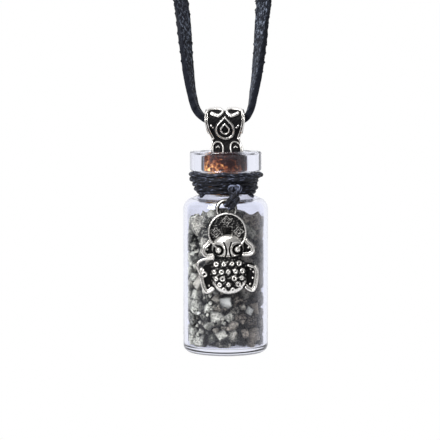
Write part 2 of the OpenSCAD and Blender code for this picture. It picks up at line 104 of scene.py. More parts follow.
def curve_through(points: Array | tuple, per_stretch: int) -> Array:
    """Catmull-Rom curve through points.

    Each stretch from b to c, with a before it and d after it, is
    0.5 (2b + (c - a) t + (2a - 5b + 4c - d) t^2 + (3b - a - 3c + d) t^3).

    Args:
        points: one row for each point, of any width.
        per_stretch: steps from one point to the next.

    Returns:
        The points of the curve, row by row.
    """
    points = np.array(points, float)
    p = np.vstack([points[:1], points, points[-1:]])[:, None, :]
    a, b, c, d = p[:-3], p[1:-2], p[2:-1], p[3:]
    t = np.arange(per_stretch)[None, :, None] / per_stretch
    bends = (2 * a - 5 * b + 4 * c - d) * t**2 + (3 * b - a - 3 * c + d) * t**3
    stretch = 0.5 * (2 * b + (c - a) * t + bends)
    return np.vstack([stretch.reshape(-1, points.shape[1]), points[-1:]])


def evenly(points: Array, step: float) -> Array:
    """The same line with its points about one step apart, by linear interpolation on its length.

    Args:
        points: rows whose first three columns, or fewer, are the place.
        step: distance wanted between points.

    Returns:
        The new rows.
    """
    along = run_length(points[:, :3])
    t = np.linspace(0, along[-1], max(3, round(along[-1] / step) + 1))
    return np.stack([np.interp(t, along, column) for column in points.T], axis=1)


def ripple(points: Array, size: float, seed: int, waves: int = 7) -> Array:
    """Smooth noise between about -1 and 1: a sum of sine waves in random directions.

    Args:
        points: places, the last axis holding the coordinates.
        size: typical distance from crest to crest.
        seed: number that picks the waves.
        waves: how many sine waves are summed.

    Returns:
        One value for each place.
    """
    random = np.random.default_rng(seed)
    total = np.zeros(points.shape[:-1])
    for way in unit(random.normal(size=(waves, points.shape[-1]))):
        pitch = size * random.uniform(0.6, 1.6)
        total += np.sin(points @ way * 2 * np.pi / pitch + random.uniform(0, 2 * np.pi))
    return total / np.sqrt(waves)


def to_line(x: Array, z: Array, points: Array) -> Array:
    """Distance of places from a line of straight stretches.

    Args:
        x: first coordinate of the places.
        z: second coordinate of the places.
        points: the line's corners, two columns.

    Returns:
        The least distance for each place.
    """
    least = np.full(np.shape(x), np.inf)
    for a, d in zip(points[:-1], np.diff(points, axis=0)):
        t = np.clip(((x - a[0]) * d[0] + (z - a[1]) * d[1]) / max(d @ d, 1e-9), 0, 1)
        least = np.minimum(least, np.hypot(x - a[0] - t * d[0], z - a[1] - t * d[1]))
    return least


def arc(middle: tuple[float, float], radii: tuple[float, float], start: float, end: float, steps: int) -> Array:
    """Points on part of an ellipse, from one angle to another in degrees.

    Args:
        middle: centre of the ellipse.
        radii: its half width and half height.
        start: first angle.
        end: last angle.
        steps: number of steps between them.

    Returns:
        Rows of two coordinates.
    """
    a = np.radians(np.linspace(start, end, steps + 1))
    return coords(middle[0] + radii[0] * np.cos(a), middle[1] + radii[1] * np.sin(a))


def lathe(profile: Array, middle: Array, sides: int) -> Array:
    """Surface of revolution about a line along Z: (r cos a, r sin a, z).

    Args:
        profile: rows of radius and height.
        middle: point on the axis, whose height is added.
        sides: steps round the axis.

    Returns:
        A grid of points, a row for each row of the profile.
    """
    a, r = angles(sides), profile[:, :1]
    return coords(r * np.cos(a), r * np.sin(a), profile[:, 1:2]) + middle


def swept(path: Array, across: Array, section: Array) -> Array:
    """Section carried along a path: place + s0 across + s1 (along x across).

    Args:
        path: places, one row each.
        across: direction of the section's first axis at each place.
        section: rows by columns by two.

    Returns:
        A grid of points, a row for each place.
    """
    along = unit(np.gradient(path, axis=0))
    first = unit(across - (across * along).sum(1, keepdims=True) * along)
    second = np.cross(along, first)
    return path[:, None] + section[..., :1] * first[:, None] + section[..., 1:] * second[:, None]


def with_round_ends(path: Array, radius: float, steps: int = 5) -> tuple[Array, Array]:
    """A path longer by a half ball at each end, and the radius at each of its places.

    Args:
        path: places, one row each.
        radius: radius along the path.
        steps: rows in each half ball.

    Returns:
        The new path and the radii.
    """
    b = np.linspace(0, np.pi / 2, steps + 1)[:-1]
    first = path[0] - unit(path[1] - path[0]) * radius * np.cos(b)[:, None]
    last = path[-1] + unit(path[-1] - path[-2]) * radius * np.cos(b[::-1])[:, None]
    radii = np.concatenate([radius * np.sin(b), np.full(len(path), radius), radius * np.sin(b[::-1])])
    return np.vstack([first, path, last]), radii


def closed(grid: Array, tone: Array) -> tuple[Array, Array]:
    """A grid and its tone with one more row at each end, all of whose points lie in that end's middle."""
    ends = [np.broadcast_to(row.mean(axis=0), (1, *row.shape)) for row in (grid[0], grid[-1])]
    return np.concatenate([ends[0], grid, ends[1]]), np.pad(tone, ((1, 1), (0, 0)), mode="edge")


def length_map(grid: Array) -> Array:
    """Map of a grid in millimetres: round its middle section, then along its path."""
    return coords(run_length(grid[len(grid) // 2]), run_length(grid.mean(axis=1))[:, None])


@dataclass
class Shell:
    """Surfaces of one piece, gathered in millimetres until they become one mesh."""

    points: list[Array] = field(default_factory=list)
    faces: list[Array] = field(default_factory=list)
    maps: list[Array] = field(default_factory=list)
    tones: list[Array] = field(default_factory=list)

    def add_grid(self, grid: Array, uv: Array | None = None, tone: Array | float = 0.0) -> None:
        """Joins a grid of points by four-sided faces.

        Args:
            grid: points, rows by columns by three. A closed surface repeats its first row or column last.
            uv: two numbers for each point, for patterns that follow the surface.
            tone: one number for each point, which the finish reads, or one for all.
        """
        rows, columns = grid.shape[:2]
        at = np.arange(rows * columns).reshape(rows, columns)
        quads = np.stack([at[:-1, :-1], at[1:, :-1], at[1:, 1:], at[:-1, 1:]], axis=-1).reshape(-1, 4)
        if uv is None:
            uv = coords(np.arange(rows)[:, None], np.arange(columns))
        self.add_faces(grid.reshape(-1, 3), quads, uv.reshape(-1, 2), np.broadcast_to(tone, (rows, columns)))

    def add_faces(self, points: Array, faces: Array, uv: Array, tone: Array) -> None:
        """Adds points and the faces between them, all with the same number of corners.

        Args:
            points: places of the points.
            faces: one row of point numbers for each face.
            uv: two numbers for each point.
            tone: one number for each point.
        """
        self.faces.append(faces + sum(len(earlier) for earlier in self.points))
        self.points.append(points)
        self.maps.append(uv)
        self.tones.append(np.ravel(tone))

    def piece(
        self, name: str, node: str, finish: Material, body: str = PENDANT, smooth: bool = True
    ) -> bpy.types.Object:
        """Makes the mesh, with its seams closed and its faces outwards, and lets it stand for its node.

        Args:
            name: name of the object and its mesh.
            node: the CAD node that it replaces.
            finish: the material.
            body: the body that it moves with.
            smooth: shades the faces as one curved surface.

        Returns:
            The new object, at the origin.
        """
        corners = np.concatenate([f.ravel() for f in self.faces])
        sizes = np.concatenate([np.full(len(f), f.shape[1]) for f in self.faces])
        points = np.concatenate(self.points)
        mesh = bpy.data.meshes.new(name)
        mesh.vertices.add(len(points))
        mesh.vertices.foreach_set("co", (points * MM).astype(np.float32).ravel())
        mesh.loops.add(len(corners))
        mesh.loops.foreach_set("vertex_index", corners.astype(np.int32))
        mesh.polygons.add(len(sizes))
        mesh.polygons.foreach_set("loop_start", (np.cumsum(sizes) - sizes).astype(np.int32))
        mesh.update(calc_edges=True)
        uv = np.concatenate(self.maps)[corners].astype(np.float32)
        mesh.uv_layers.new(name="surface").data.foreach_set("uv", uv.ravel())
        tone = mesh.attributes.new("tone", "FLOAT", "POINT")
        tone.data.foreach_set("value", np.concatenate(self.tones).astype(np.float32))
        work = bmesh.new()
        work.from_mesh(mesh)
        bmesh.ops.remove_doubles(work, verts=work.verts, dist=2e-4 * MM)
        bmesh.ops.recalc_face_normals(work, faces=work.faces)
        work.to_mesh(mesh)
        work.free()
        mesh.polygons.foreach_set("use_smooth", np.full(len(mesh.polygons), smooth))
        mesh.materials.append(finish)
        made = bpy.data.objects.new(name, mesh)
        bpy.context.scene.collection.objects.link(made)
        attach(made, body)
        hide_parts(node)
        LOG.info("%s: %d faces", name, len(mesh.polygons))
        return made


class Side(Enum):
    """Left or right of the pendant's middle, as the viewer sees it."""

    LEFT = -1
    RIGHT = 1


class Sheen(Enum):
    """How much soft light fibres scatter: weight of the sheen layer."""

    WAXED = 0.02
    NAPPED = 0.06


def linear(colour: str) -> tuple[float, float, float, float]:
    """Linear colour of an sRGB hex value.

    Args:
        colour: six hex digits after a number sign.

    Returns:
        Red, green, blue and alpha for a colour socket.
    """
    parts = np.array([int(colour[i : i + 2], 16) for i in (1, 3, 5)]) / 255
    light = np.where(parts <= 0.04045, parts / 12.92, ((parts + 0.055) / 1.055) ** 2.4)
    return (*light.tolist(), 1.0)


def add_node(
    tree: Tree, kind: str, inputs: dict | None = None, take: str | int = 0, **settings: object
) -> Socket | None:
    """Adds a node with its settings and links.

    Args:
        tree: the tree that gets the node.
        kind: the node's type, without the words ShaderNode before it.
        inputs: value, hex colour, or output of another node, for each input by its name or number.
        take: name or number of the output that is handed back.
        settings: properties of the node.

    Returns:
        That output, or nothing from a node that has none.
    """
    made = tree.nodes.new("ShaderNode" + kind)
    for name, value in settings.items():
        setattr(made, name, value)
    for key, value in (inputs or {}).items():
        if isinstance(value, Socket):
            tree.links.new(value, made.inputs[key])
        else:
            made.inputs[key].default_value = linear(value) if isinstance(value, str) else value
    return made.outputs[take] if made.outputs else None


@dataclass(frozen=True)
class Finish:
    """What all finishes share: a material with a name, and a shader that each of them builds."""

    NAME = ""

    def shader(self, tree: Tree) -> Socket:
        """Builds the finish in a tree and hands back its shader."""
        raise NotImplementedError

    def material(self) -> Material:
        """Makes the material.

        Returns:
            The new material.
        """
        made = bpy.data.materials.new(self.NAME)
        made.use_nodes = True
        made.node_tree.nodes.clear()
        add_node(made.node_tree, "OutputMaterial", {"Surface": self.shader(made.node_tree)})
        return made

    def uneven(self, tree: Tree, height: Socket, strength: float, depth: float, inputs: dict) -> Socket:
        """Shader of an uneven surface.

        Args:
            tree: the tree that gets the nodes.
            height: pattern of the bumps.
            strength: how much they show.
            depth: their height in millimetres.
            inputs: the shader's other inputs.

        Returns:
            The shader.
        """
        bump = add_node(tree, "Bump", {"Height": height, "Strength": strength, "Distance": depth * MM})
        return add_node(tree, "BsdfPrincipled", inputs | {"Normal": bump})


@dataclass(frozen=True)
class SuedeLace(Finish):
    """Split cowhide, dyed navy-black and napped: matt, with pale flecks where the dye missed the fibres."""

    face: str = "#13151d"
    edge: str = "#151821"
    fleck: str = "#98a2b5"
    fleck_mm: float = 0.42

    NAME = "suede_split_leather"

    def shader(self, tree: Tree) -> Socket:
        """For a lace whose map is in millimetres and whose tone is 1 along its cut edges.

        Args:
            tree: the material's tree.

        Returns:
            The shader.
        """
        surface = add_node(tree, "UVMap", uv_map="surface")
        tone = add_node(tree, "Attribute", take="Fac", attribute_name="tone")
        along = add_node(tree, "Mapping", {"Vector": surface, "Scale": (1.0, 0.45, 1.0)})
        flecks, clouds, nap = (
            add_node(tree, "TexNoise", {"Vector": place, "Scale": scale, "Detail": detail, "Roughness": rough})
            for place, scale, detail, rough in (
                (along, 1 / self.fleck_mm, 6.0, 0.75), (surface, 0.09, 2.0, 0.5), (along, 4.0, 4.0, 0.7),
            )
        )
        sparse = add_node(tree, "MapRange", {"Value": flecks, "From Min": 0.5, "From Max": 0.68})
        patch = add_node(tree, "MapRange", {"Value": clouds, "From Min": 0.35, "From Max": 0.6, "To Min": 0.3})
        undyed = add_node(tree, "Math", {0: sparse, 1: patch}, operation="MULTIPLY")
        colour = self.face
        for share, over in ((undyed, self.fleck), (tone, self.edge)):
            colour = add_node(tree, "Mix", {0: share, MIX_A: colour, MIX_B: over}, MIX_COLOUR, data_type="RGBA")
        return self.uneven(tree, nap, 0.8, 0.25, {
            "Base Color": colour, "Roughness": 0.95, "Specular IOR Level": 0.1,
            "Sheen Weight": Sheen.NAPPED.value, "Sheen Roughness": 0.6,
        })


@dataclass(frozen=True)
class WaxedThread(Finish):
    """Braided cotton cord drawn through dark wax: a dull gloss, with paler fibres running along it."""

    body: str = "#090a12"
    fibre: str = "#8087a0"
    strand_mm: float = 0.26

    NAME = "waxed_cotton_thread"

    def shader(self, tree: Tree) -> Socket:
        """For a thread whose map is in millimetres, and whose tone is 1 where it is drawn paler.

        Args:
            tree: the material's tree.

        Returns:
            The shader.
        """
        surface = add_node(tree, "UVMap", uv_map="surface")
        tone = add_node(tree, "Attribute", take="Fac", attribute_name="tone")
        slanted = add_node(tree, "Mapping", {
            "Vector": surface, "Rotation": (0.0, 0.0, 0.5), "Scale": (1.0, 0.22, 1.0),
        })
        fibres = add_node(tree, "TexNoise", {
            "Vector": slanted, "Scale": 1 / self.strand_mm, "Detail": 4.0, "Roughness": 0.65,
        })
        tone_and_fibres = add_node(tree, "Math", {0: tone, 1: 0.1, 2: fibres}, operation="MULTIPLY_ADD")
        pale = add_node(tree, "MapRange", {"Value": tone_and_fibres, "From Min": 0.55, "From Max": 0.68})
        colours = {0: pale, MIX_A: self.body, MIX_B: self.fibre}
        return self.uneven(tree, fibres, 0.9, 0.15, {
            "Base Color": add_node(tree, "Mix", colours, MIX_COLOUR, data_type="RGBA"),
            "Roughness": 0.6, "Specular IOR Level": 0.22, "Sheen Weight": Sheen.WAXED.value,
        })


@dataclass(frozen=True)
class AntiqueSilver(Finish):
    """Pewter casting, silver plated, blackened in a bath and buffed: bright crests over black hollows."""

    bright: str = "#ebe8e3"
    black: str = "#060507"
    grain_mm: float = 0.5

    NAME = "antiqued_silver_plate"

    def shader(self, tree: Tree) -> Socket:
        """For a casting whose tone is 1 on buffed crests and 0 in hollows.

        Args:
            tree: the material's tree.

        Returns:
            The shader.
        """
        place = add_node(tree, "TexCoord", take="Object")
        tone = add_node(tree, "Attribute", take="Fac", attribute_name="tone")
        grain = add_node(tree, "TexNoise", {
            "Vector": place, "Scale": 1 / (self.grain_mm * MM), "Detail": 5.0, "Roughness": 0.65,
        })
        wear_and_painted_shade = add_node(tree, "Math", {0: grain, 1: 0.7, 2: tone}, operation="MULTIPLY_ADD")
        buffed = add_node(tree, "MapRange", {
            "Value": wear_and_painted_shade, "From Min": 0.5, "From Max": 0.95,
        }, interpolation_type="SMOOTHSTEP")
        colours = {0: buffed, MIX_A: self.black, MIX_B: self.bright}
        return self.uneven(tree, grain, 0.5, 0.06, {
            "Base Color": add_node(tree, "Mix", colours, MIX_COLOUR, data_type="RGBA"),
            "Metallic": add_node(tree, "Math", {0: buffed, 1: 0.82}, operation="MULTIPLY"),
            "Roughness": add_node(tree, "MapRange", {"Value": buffed, "To Min": 0.5, "To Max": 0.24}),
            "Specular IOR Level": 0.15,
        })


@dataclass(frozen=True)
class NaturalCork(Finish):
    """Punched natural cork: golden to brown bark with dark pores, with painted light at its lower left and
    painted shade, almost black, at its top right.
    """

    # Heights in metres between which the painted shade comes on
    low: float
    high: float
    golden: str = "#e2aa64"
    bark: str = "#70391c"
    pore: str = "#2a120c"
    # Colour of the painted shade at the top right
    painted_shade: str = "#1c0c0a"
    cell_mm: float = 0.7

    NAME = "natural_cork"

    def shader(self, tree: Tree) -> Socket:
        """The grain and the painted light and shade, darker towards the top and the right, add up to one value,
        which passes from golden over bark to near black.

        Args:
            tree: the material's tree.

        Returns:
            The shader.
        """
        place = add_node(tree, "TexCoord", take="Object")
        grain = add_node(tree, "TexNoise", {
            "Vector": place, "Scale": 1 / (self.cell_mm * MM), "Detail": 6.0, "Roughness": 0.75,
        })
        part = add_node(tree, "SeparateXYZ", {0: place}).node.outputs
        # Painted light and shade: darker upwards and towards the right, in shade, and golden at the lower left,
        # where the light falls
        height = add_node(tree, "MapRange", {"Value": part["Z"], "From Min": self.low, "From Max": self.high})
        right = add_node(tree, "MapRange", {
            "Value": part["X"], "From Min": -3.5 * MM, "From Max": 1.5 * MM, "To Max": 0.6,
        })
        wear_and_painted_shade = add_node(tree, "Math", {0: height, 1: right}, operation="ADD")
        mottled = add_node(tree, "Math", {0: grain, 1: 5.0, 2: wear_and_painted_shade}, operation="MULTIPLY_ADD")
        colour = self.golden
        for value, low, high, most, over in (
            (mottled, 2.4, 2.8, 1.0, self.bark), (mottled, 2.95, 3.4, 1.0, self.painted_shade),
            (grain, 0.55, 0.6, 0.95, self.pore),
        ):
            share = add_node(tree, "MapRange", {
                "Value": value, "From Min": low, "From Max": high, "To Max": most,
            })
            colour = add_node(tree, "Mix", {0: share, MIX_A: colour, MIX_B: over}, MIX_COLOUR, data_type="RGBA")
        return self.uneven(tree, grain, 0.8, 0.3, {
            "Base Color": colour, "Roughness": 0.8, "Specular IOR Level": 0.2,
        })


@dataclass(frozen=True)
class SodaLimeGlass(Finish):
    """Clear blown soda-lime glass: smooth, almost colourless, faintly lavender in its thick edges."""

    tint: str = "#f4f5fd"
    ior: float = 1.5

    NAME = "soda_lime_glass"

    def shader(self, tree: Tree) -> Socket:
        """Glass that lets the lamps' light through to what is inside.

        Args:
            tree: the material's tree.

        Returns:
            The shader.
        """
        glass = add_node(tree, "BsdfPrincipled", {
            "Base Color": self.tint, "Roughness": 0.0, "IOR": self.ior, "Transmission Weight": 1.0,
        })
        clear = add_node(tree, "BsdfTransparent", {"Color": self.tint})
        shadow = add_node(tree, "LightPath", take="Is Shadow Ray")
        return add_node(tree, "MixShader", {0: shadow, 1: glass, 2: clear})


@dataclass(frozen=True)
class CrushedPyrite(Finish):
    """Crushed pyrite: grainy grey-olive and brown stones, with painted shade between them and on their hidden
    sides, and a few bright crystal faces.
    """

    # Pale and dull colours, olive and brown. The brown ones are darker, which is partly painted shade on the
    # stones to the right.
    pale: str = "#d2d2bd"
    pale_brown: str = "#a89e8a"
    olive: str = "#2b2c24"
    brown: str = "#18120f"
    # Colour of the painted shade in the gaps and on the stones' hidden sides
    gap: str = "#050404"
    crystal: str = "#d6d6c6"
    grain_mm: float = 0.36

    NAME = "crushed_pyrite"

    def shader(self, tree: Tree) -> Socket:
        """For stones whose tone is their lightness, and whose map holds brownness, which also darkens them
        towards the right as painted shade, and exposure: the share of each point out of the painted shade.

        Args:
            tree: the material's tree.

        Returns:
            The shader.
        """
        place = add_node(tree, "TexCoord", take="Object")
        tone = add_node(tree, "Attribute", take="Fac", attribute_name="tone")
        own = add_node(tree, "UVMap", uv_map="surface")
        stone = add_node(tree, "SeparateXYZ", {0: own}).node.outputs
        grain = add_node(tree, "TexNoise", {
            "Vector": place, "Scale": 1 / (self.grain_mm * MM), "Detail": 4.0, "Roughness": 0.7,
        })
        light = add_node(tree, "Math", {0: grain, 1: 3.2, 2: tone}, operation="MULTIPLY_ADD")
        speckle = add_node(tree, "MapRange", {"Value": light, "From Min": 1.7, "From Max": 2.45})
        faced = add_node(tree, "MapRange", {"Value": tone, "From Min": 0.955, "From Max": 0.96})
        dull, pale = (
            add_node(tree, "Mix", {0: stone["X"], MIX_A: grey, MIX_B: brown}, MIX_COLOUR, data_type="RGBA")
            for grey, brown in ((self.olive, self.brown), (self.pale, self.pale_brown))
        )
        colour = dull
        for share, over in ((speckle, pale), (faced, self.crystal)):
            colour = add_node(tree, "Mix", {0: share, MIX_A: colour, MIX_B: over}, MIX_COLOUR, data_type="RGBA")
        # Painted shade: where the exposure is low the colour goes over to the gap colour
        colours = {0: stone["Y"], MIX_A: self.gap, MIX_B: colour}
        return self.uneven(tree, grain, 1.0, 0.35, {
            "Base Color": add_node(tree, "Mix", colours, MIX_COLOUR, data_type="RGBA"),
            "Metallic": add_node(tree, "MapRange", {"Value": faced, "To Min": 0.3, "To Max": 0.6}),
            "Roughness": add_node(tree, "MapRange", {"Value": faced, "To Min": 0.45, "To Max": 0.25}),
            "Specular IOR Level": 0.2,
        })


@dataclass
class Studio:
    """Camera, plain white surroundings and soft lights, round a vial whose base has the given height."""

    base: float
    image_px: int = 440
    px_per_mm: float = 4.7
    distance: float = 450.0
    above_base: float = 59.9
    aim_x: float = -1.2
    aim_up: float = 28.5
    sensor: float = 36.0
    # Height over the base that the lamps face, and length of their sides
    lit_up: float = 30.0
    lamp_size: float = 300.0

    # Name, place over the base, and power in watts
    LAMPS = (("key", (-330, -420, 330), 4.5), ("top", (-130, -150, 560), 1.8))

    def stand(self, name: str, data: bpy.types.ID, at: Vector, aim: Vector) -> bpy.types.Object:
        """Puts a camera or lamp in its place.

        Args:
            name: the object's name.
            data: the camera or lamp.
            at: where it stands.
            aim: the point that it faces.

        Returns:
            The new object.
        """
        made = bpy.data.objects.new(name, data)
        made.location = at * MM
        made.rotation_euler = (aim - at).to_track_quat("-Z", "Y").to_euler()
        bpy.context.scene.collection.objects.link(made)
        return made

    def camera(self) -> None:
        """Looks a little down at the vial, so that one millimetre there is the photo's number of pixels."""
        at = Vector((self.aim_x, -self.distance, self.base + self.above_base))
        aim = Vector((self.aim_x, 0, self.base + self.aim_up))
        data = bpy.data.cameras.new("camera")
        data.sensor_width = self.sensor
        data.lens = self.sensor * self.px_per_mm * (at - aim).length / self.image_px
        data.clip_start, data.clip_end = 0.01, 20.0
        bpy.context.scene.camera = self.stand("camera", data, at, aim)

    def world(self) -> None:
        """White to the camera. For other rays it is bright behind and below, dim in front unless seen through
        glass, and has a grey card far to the left."""
        world = bpy.data.worlds.new("studio")
        world.use_nodes = True
        tree = world.node_tree
        tree.nodes.clear()
        way = add_node(tree, "SeparateXYZ", {0: add_node(tree, "TexCoord", take="Generated")}).node.outputs
        behind, below, card_x, card_y, sideways = (
            add_node(tree, "MapRange", {
                "Value": way[axis], "From Min": low, "From Max": high, "To Min": dark, "To Max": bright,
            }, interpolation_type=form)
            for axis, low, high, dark, bright, form in (
                ("Y", -0.15, 0.55, 0.08, 1.0, "SMOOTHSTEP"), ("Z", -0.1, -0.25, 0.0, 0.95, "LINEAR"),
                ("X", -0.76, -0.86, 0.0, 0.85, "SMOOTHSTEP"), ("Y", -0.2, 0.0, 0.0, 1.0, "LINEAR"),
                ("Y", -0.9, -0.5, 0.0, 0.8, "LINEAR"),
            )
        )
        path = add_node(tree, "LightPath").node.outputs
        card = add_node(tree, "Math", {0: card_x, 1: card_y}, operation="MULTIPLY")
        left_out = add_node(tree, "Math", {0: 1.0, 1: card}, operation="SUBTRACT")
        total = add_node(tree, "Math", {0: below, 1: behind}, operation="ADD")
        capped = add_node(tree, "Math", {0: total, 1: 1.0}, operation="MINIMUM")
        clear = add_node(tree, "Math", {
            0: path["Diffuse Depth"], 1: -9.0, 2: path["Transmission Depth"],
        }, operation="MULTIPLY_ADD")
        through = add_node(tree, "MapRange", {
            "Value": clear, "From Min": 0.2, "From Max": 0.8, "To Max": sideways,
        })
        lit = add_node(tree, "Math", {0: capped, 1: through}, operation="MAXIMUM")
        strength = add_node(tree, "Math", {0: lit, 1: left_out}, operation="MULTIPLY")
        light = add_node(tree, "Background", {"Color": (0.95, 0.96, 1.0, 1), "Strength": strength})
        white = add_node(tree, "Background", {"Color": (1, 1, 1, 1), "Strength": 1.0})
        mixed = add_node(tree, "MixShader", {0: path["Is Camera Ray"], 1: light, 2: white})
        add_node(tree, "OutputWorld", {"Surface": mixed})
        bpy.context.scene.world = world

    def build(self) -> None:
        """Sets up camera, surroundings and square softboxes."""
        self.camera()
        self.world()
        for name, (x, y, up), power in self.LAMPS:
            data = bpy.data.lights.new(name, "AREA")
            data.size = self.lamp_size * MM
            data.energy = power
            at, aim = Vector((x, y, self.base + up)), Vector((0, 0, self.base + self.lit_up))
            lamp = self.stand(name, data, at, aim)
            lamp.visible_camera = False
        bpy.context.scene.view_settings.view_transform = "Standard"


@dataclass
class NeckLoop:
    """The flat suede lace with the clasp that closes it at the nape."""

    leather: Material
    silver: Material
    width: float = 3.0
    thickness: float = 1.5
    length: float = 425.0
    ring_step: float = 0.33
    fuzz: float = 0.16
    clasp_length: float = 24.0
    clasp_r: float = 3.0
    cap_r: float = 2.3
    cap_length: float = 5.0
    bevel: float = 0.5
    groove: float = 0.16

    # Centreline of the lace: across, up, and turn of its flat side in degrees (0 faces up and down)
    ROUTE = (
        (-12, 3, 180), (-23, 1.8, 180), (-35.5, -3.4, 170), (-47, -12.8, 160), (-56, -26, 150),
        (-61, -42, 140), (-60, -59, 130), (-53, -74, 120), (-42, -88, 112), (-30, -101.7, 102),
        (-17.5, -115, 90), (-11.2, -127.3, 84), (-9.2, -137.5, 66), (-8.4, -145.5, 40), (-7.7, -151.8, 24),
        (-7.1, -155.4, 16), (-6.3, -158.2, 11), (-4.8, -160.1, 4), (-2.6, -161, 0), (0, -161.3, 0),
        (2.6, -161, 0), (4.4, -160.1, 0), (5.4, -158.1, 4), (5.9, -155.4, 12), (6.5, -151.8, 22),
        (7.2, -145.5, 36), (7.9, -137.5, 63), (9.6, -127.3, 84), (15.8, -115, 90), (28, -101.7, 102),
        (42, -88, 112), (53, -74, 120), (60, -59, 130), (61, -42, 140), (56, -26, 150),
        (47, -12.8, 160), (35.5, -3.4, 170), (23, 1.8, 180), (12, 3, 180),
    )

    def centreline(self) -> Array:
        """Places and turn of the lace at even steps: three coordinates, then degrees."""
        x, z, turn = np.array(self.ROUTE, float).T
        return evenly(curve_through(coords(x, 0.0, z, turn), 24), self.ring_step)

    def section(self, rows: int) -> tuple[Array, Array]:
        """Flat section with round corners and ragged cut edges.

        Its outline is a superellipse: half width sgn(c)|c|^0.3 and half thickness sgn(s)|s|^0.3.

        Args:
            rows: number of sections along the lace.

        Returns:
            The sections, and a tone that is 1 on the cut edges.
        """
        a = angles(32)
        wide, thick = (np.sign(f) * np.abs(f) ** 0.3 for f in (np.cos(a), np.sin(a)))
        spots = coords((np.arange(rows) * self.ring_step)[:, None], 3 * wide, 3 * thick)
        edge = np.abs(wide) ** 6
        nubs = np.maximum(ripple(spots, 1.1, 11), 0) ** 2 + 0.5 * np.maximum(ripple(spots, 0.6, 12), 0) ** 2
        ragged = self.fuzz * (nubs - 0.5) * edge
        slow = 0.05 * ripple(spots[..., :1], 9.0, 13)
        across = wide * (self.width / 2 + ragged + slow)
        through = thick * (self.thickness / 2 - 0.04 + 0.03 * ripple(spots, 1.6, 14))
        return coords(across, through), np.broadcast_to(edge, across.shape)

    def lace(self) -> tuple[bpy.types.Object, Array]:
        """Carries the section along the centreline.

        Returns:
            The lace and its centreline.
        """
        line = self.centreline()
        place, turn = line[:, :3], np.radians(line[:, 3:])
        along = unit(np.gradient(place, axis=0))
        along[[0, -1]] = [-1, 0, 0]
        normal = coords(-along[:, 2], 0.0, along[:, 0])
        flat = np.cos(turn) * [0, 1, 0] + np.sin(turn) * normal
        thick = np.cos(turn) * normal - np.sin(turn) * [0, 1, 0]
        section, edge = self.section(len(line))
        grid = place[:, None] + section[..., :1] * flat[:, None] + section[..., 1:] * thick[:, None]
        grid, edge = closed(grid, edge)
        shell = Shell()
        shell.add_grid(grid, length_map(grid), edge)
        return shell.piece("lace", "neck_cord", self.leather, NECK_LOOP), place

    def clasp(self) -> bpy.types.Object:
        """Turned barrel with two end caps and a few fine grooves.

        Returns:
            The clasp.
        """
        half, b = self.clasp_length / 2, self.bevel
        step = half - self.cap_length
        corner = np.array([
            [0, -half], [self.cap_r - b, -half], [self.cap_r, b - half], [self.cap_r, -step - 0.1],
            [self.clasp_r - b, -step], [self.clasp_r, b - step], [self.clasp_r, 0],
        ])
        profile = evenly(np.vstack([corner, (corner[:-1] * [1, -1])[::-1]]), 0.12)
        out = np.abs(profile[:, 1])
        # A pair of grooves on each side of the middle, and one near each end
        grooves = step_up(0.3, 0.1, np.abs(np.abs(out - 4.6) - 0.45))
        grooves += step_up(0.25, 0.1, np.abs(out - half + 1.2))
        profile[:, 0] -= self.groove * grooves * (profile[:, 0] > self.cap_r - 0.1)
        grid = lathe(profile, np.zeros(3), 64)
        shell = Shell()
        turned = coords(grid[..., 2], grid[..., 0], grid[..., 1] + self.clasp_r)
        shell.add_grid(turned, tone=(0.75 - 0.6 * grooves)[:, None])
        return shell.piece("clasp_barrel", "clasp", self.silver, NECK_LOOP)

    def build(self) -> None:
        lace, place = self.lace()
        clasp = self.clasp()


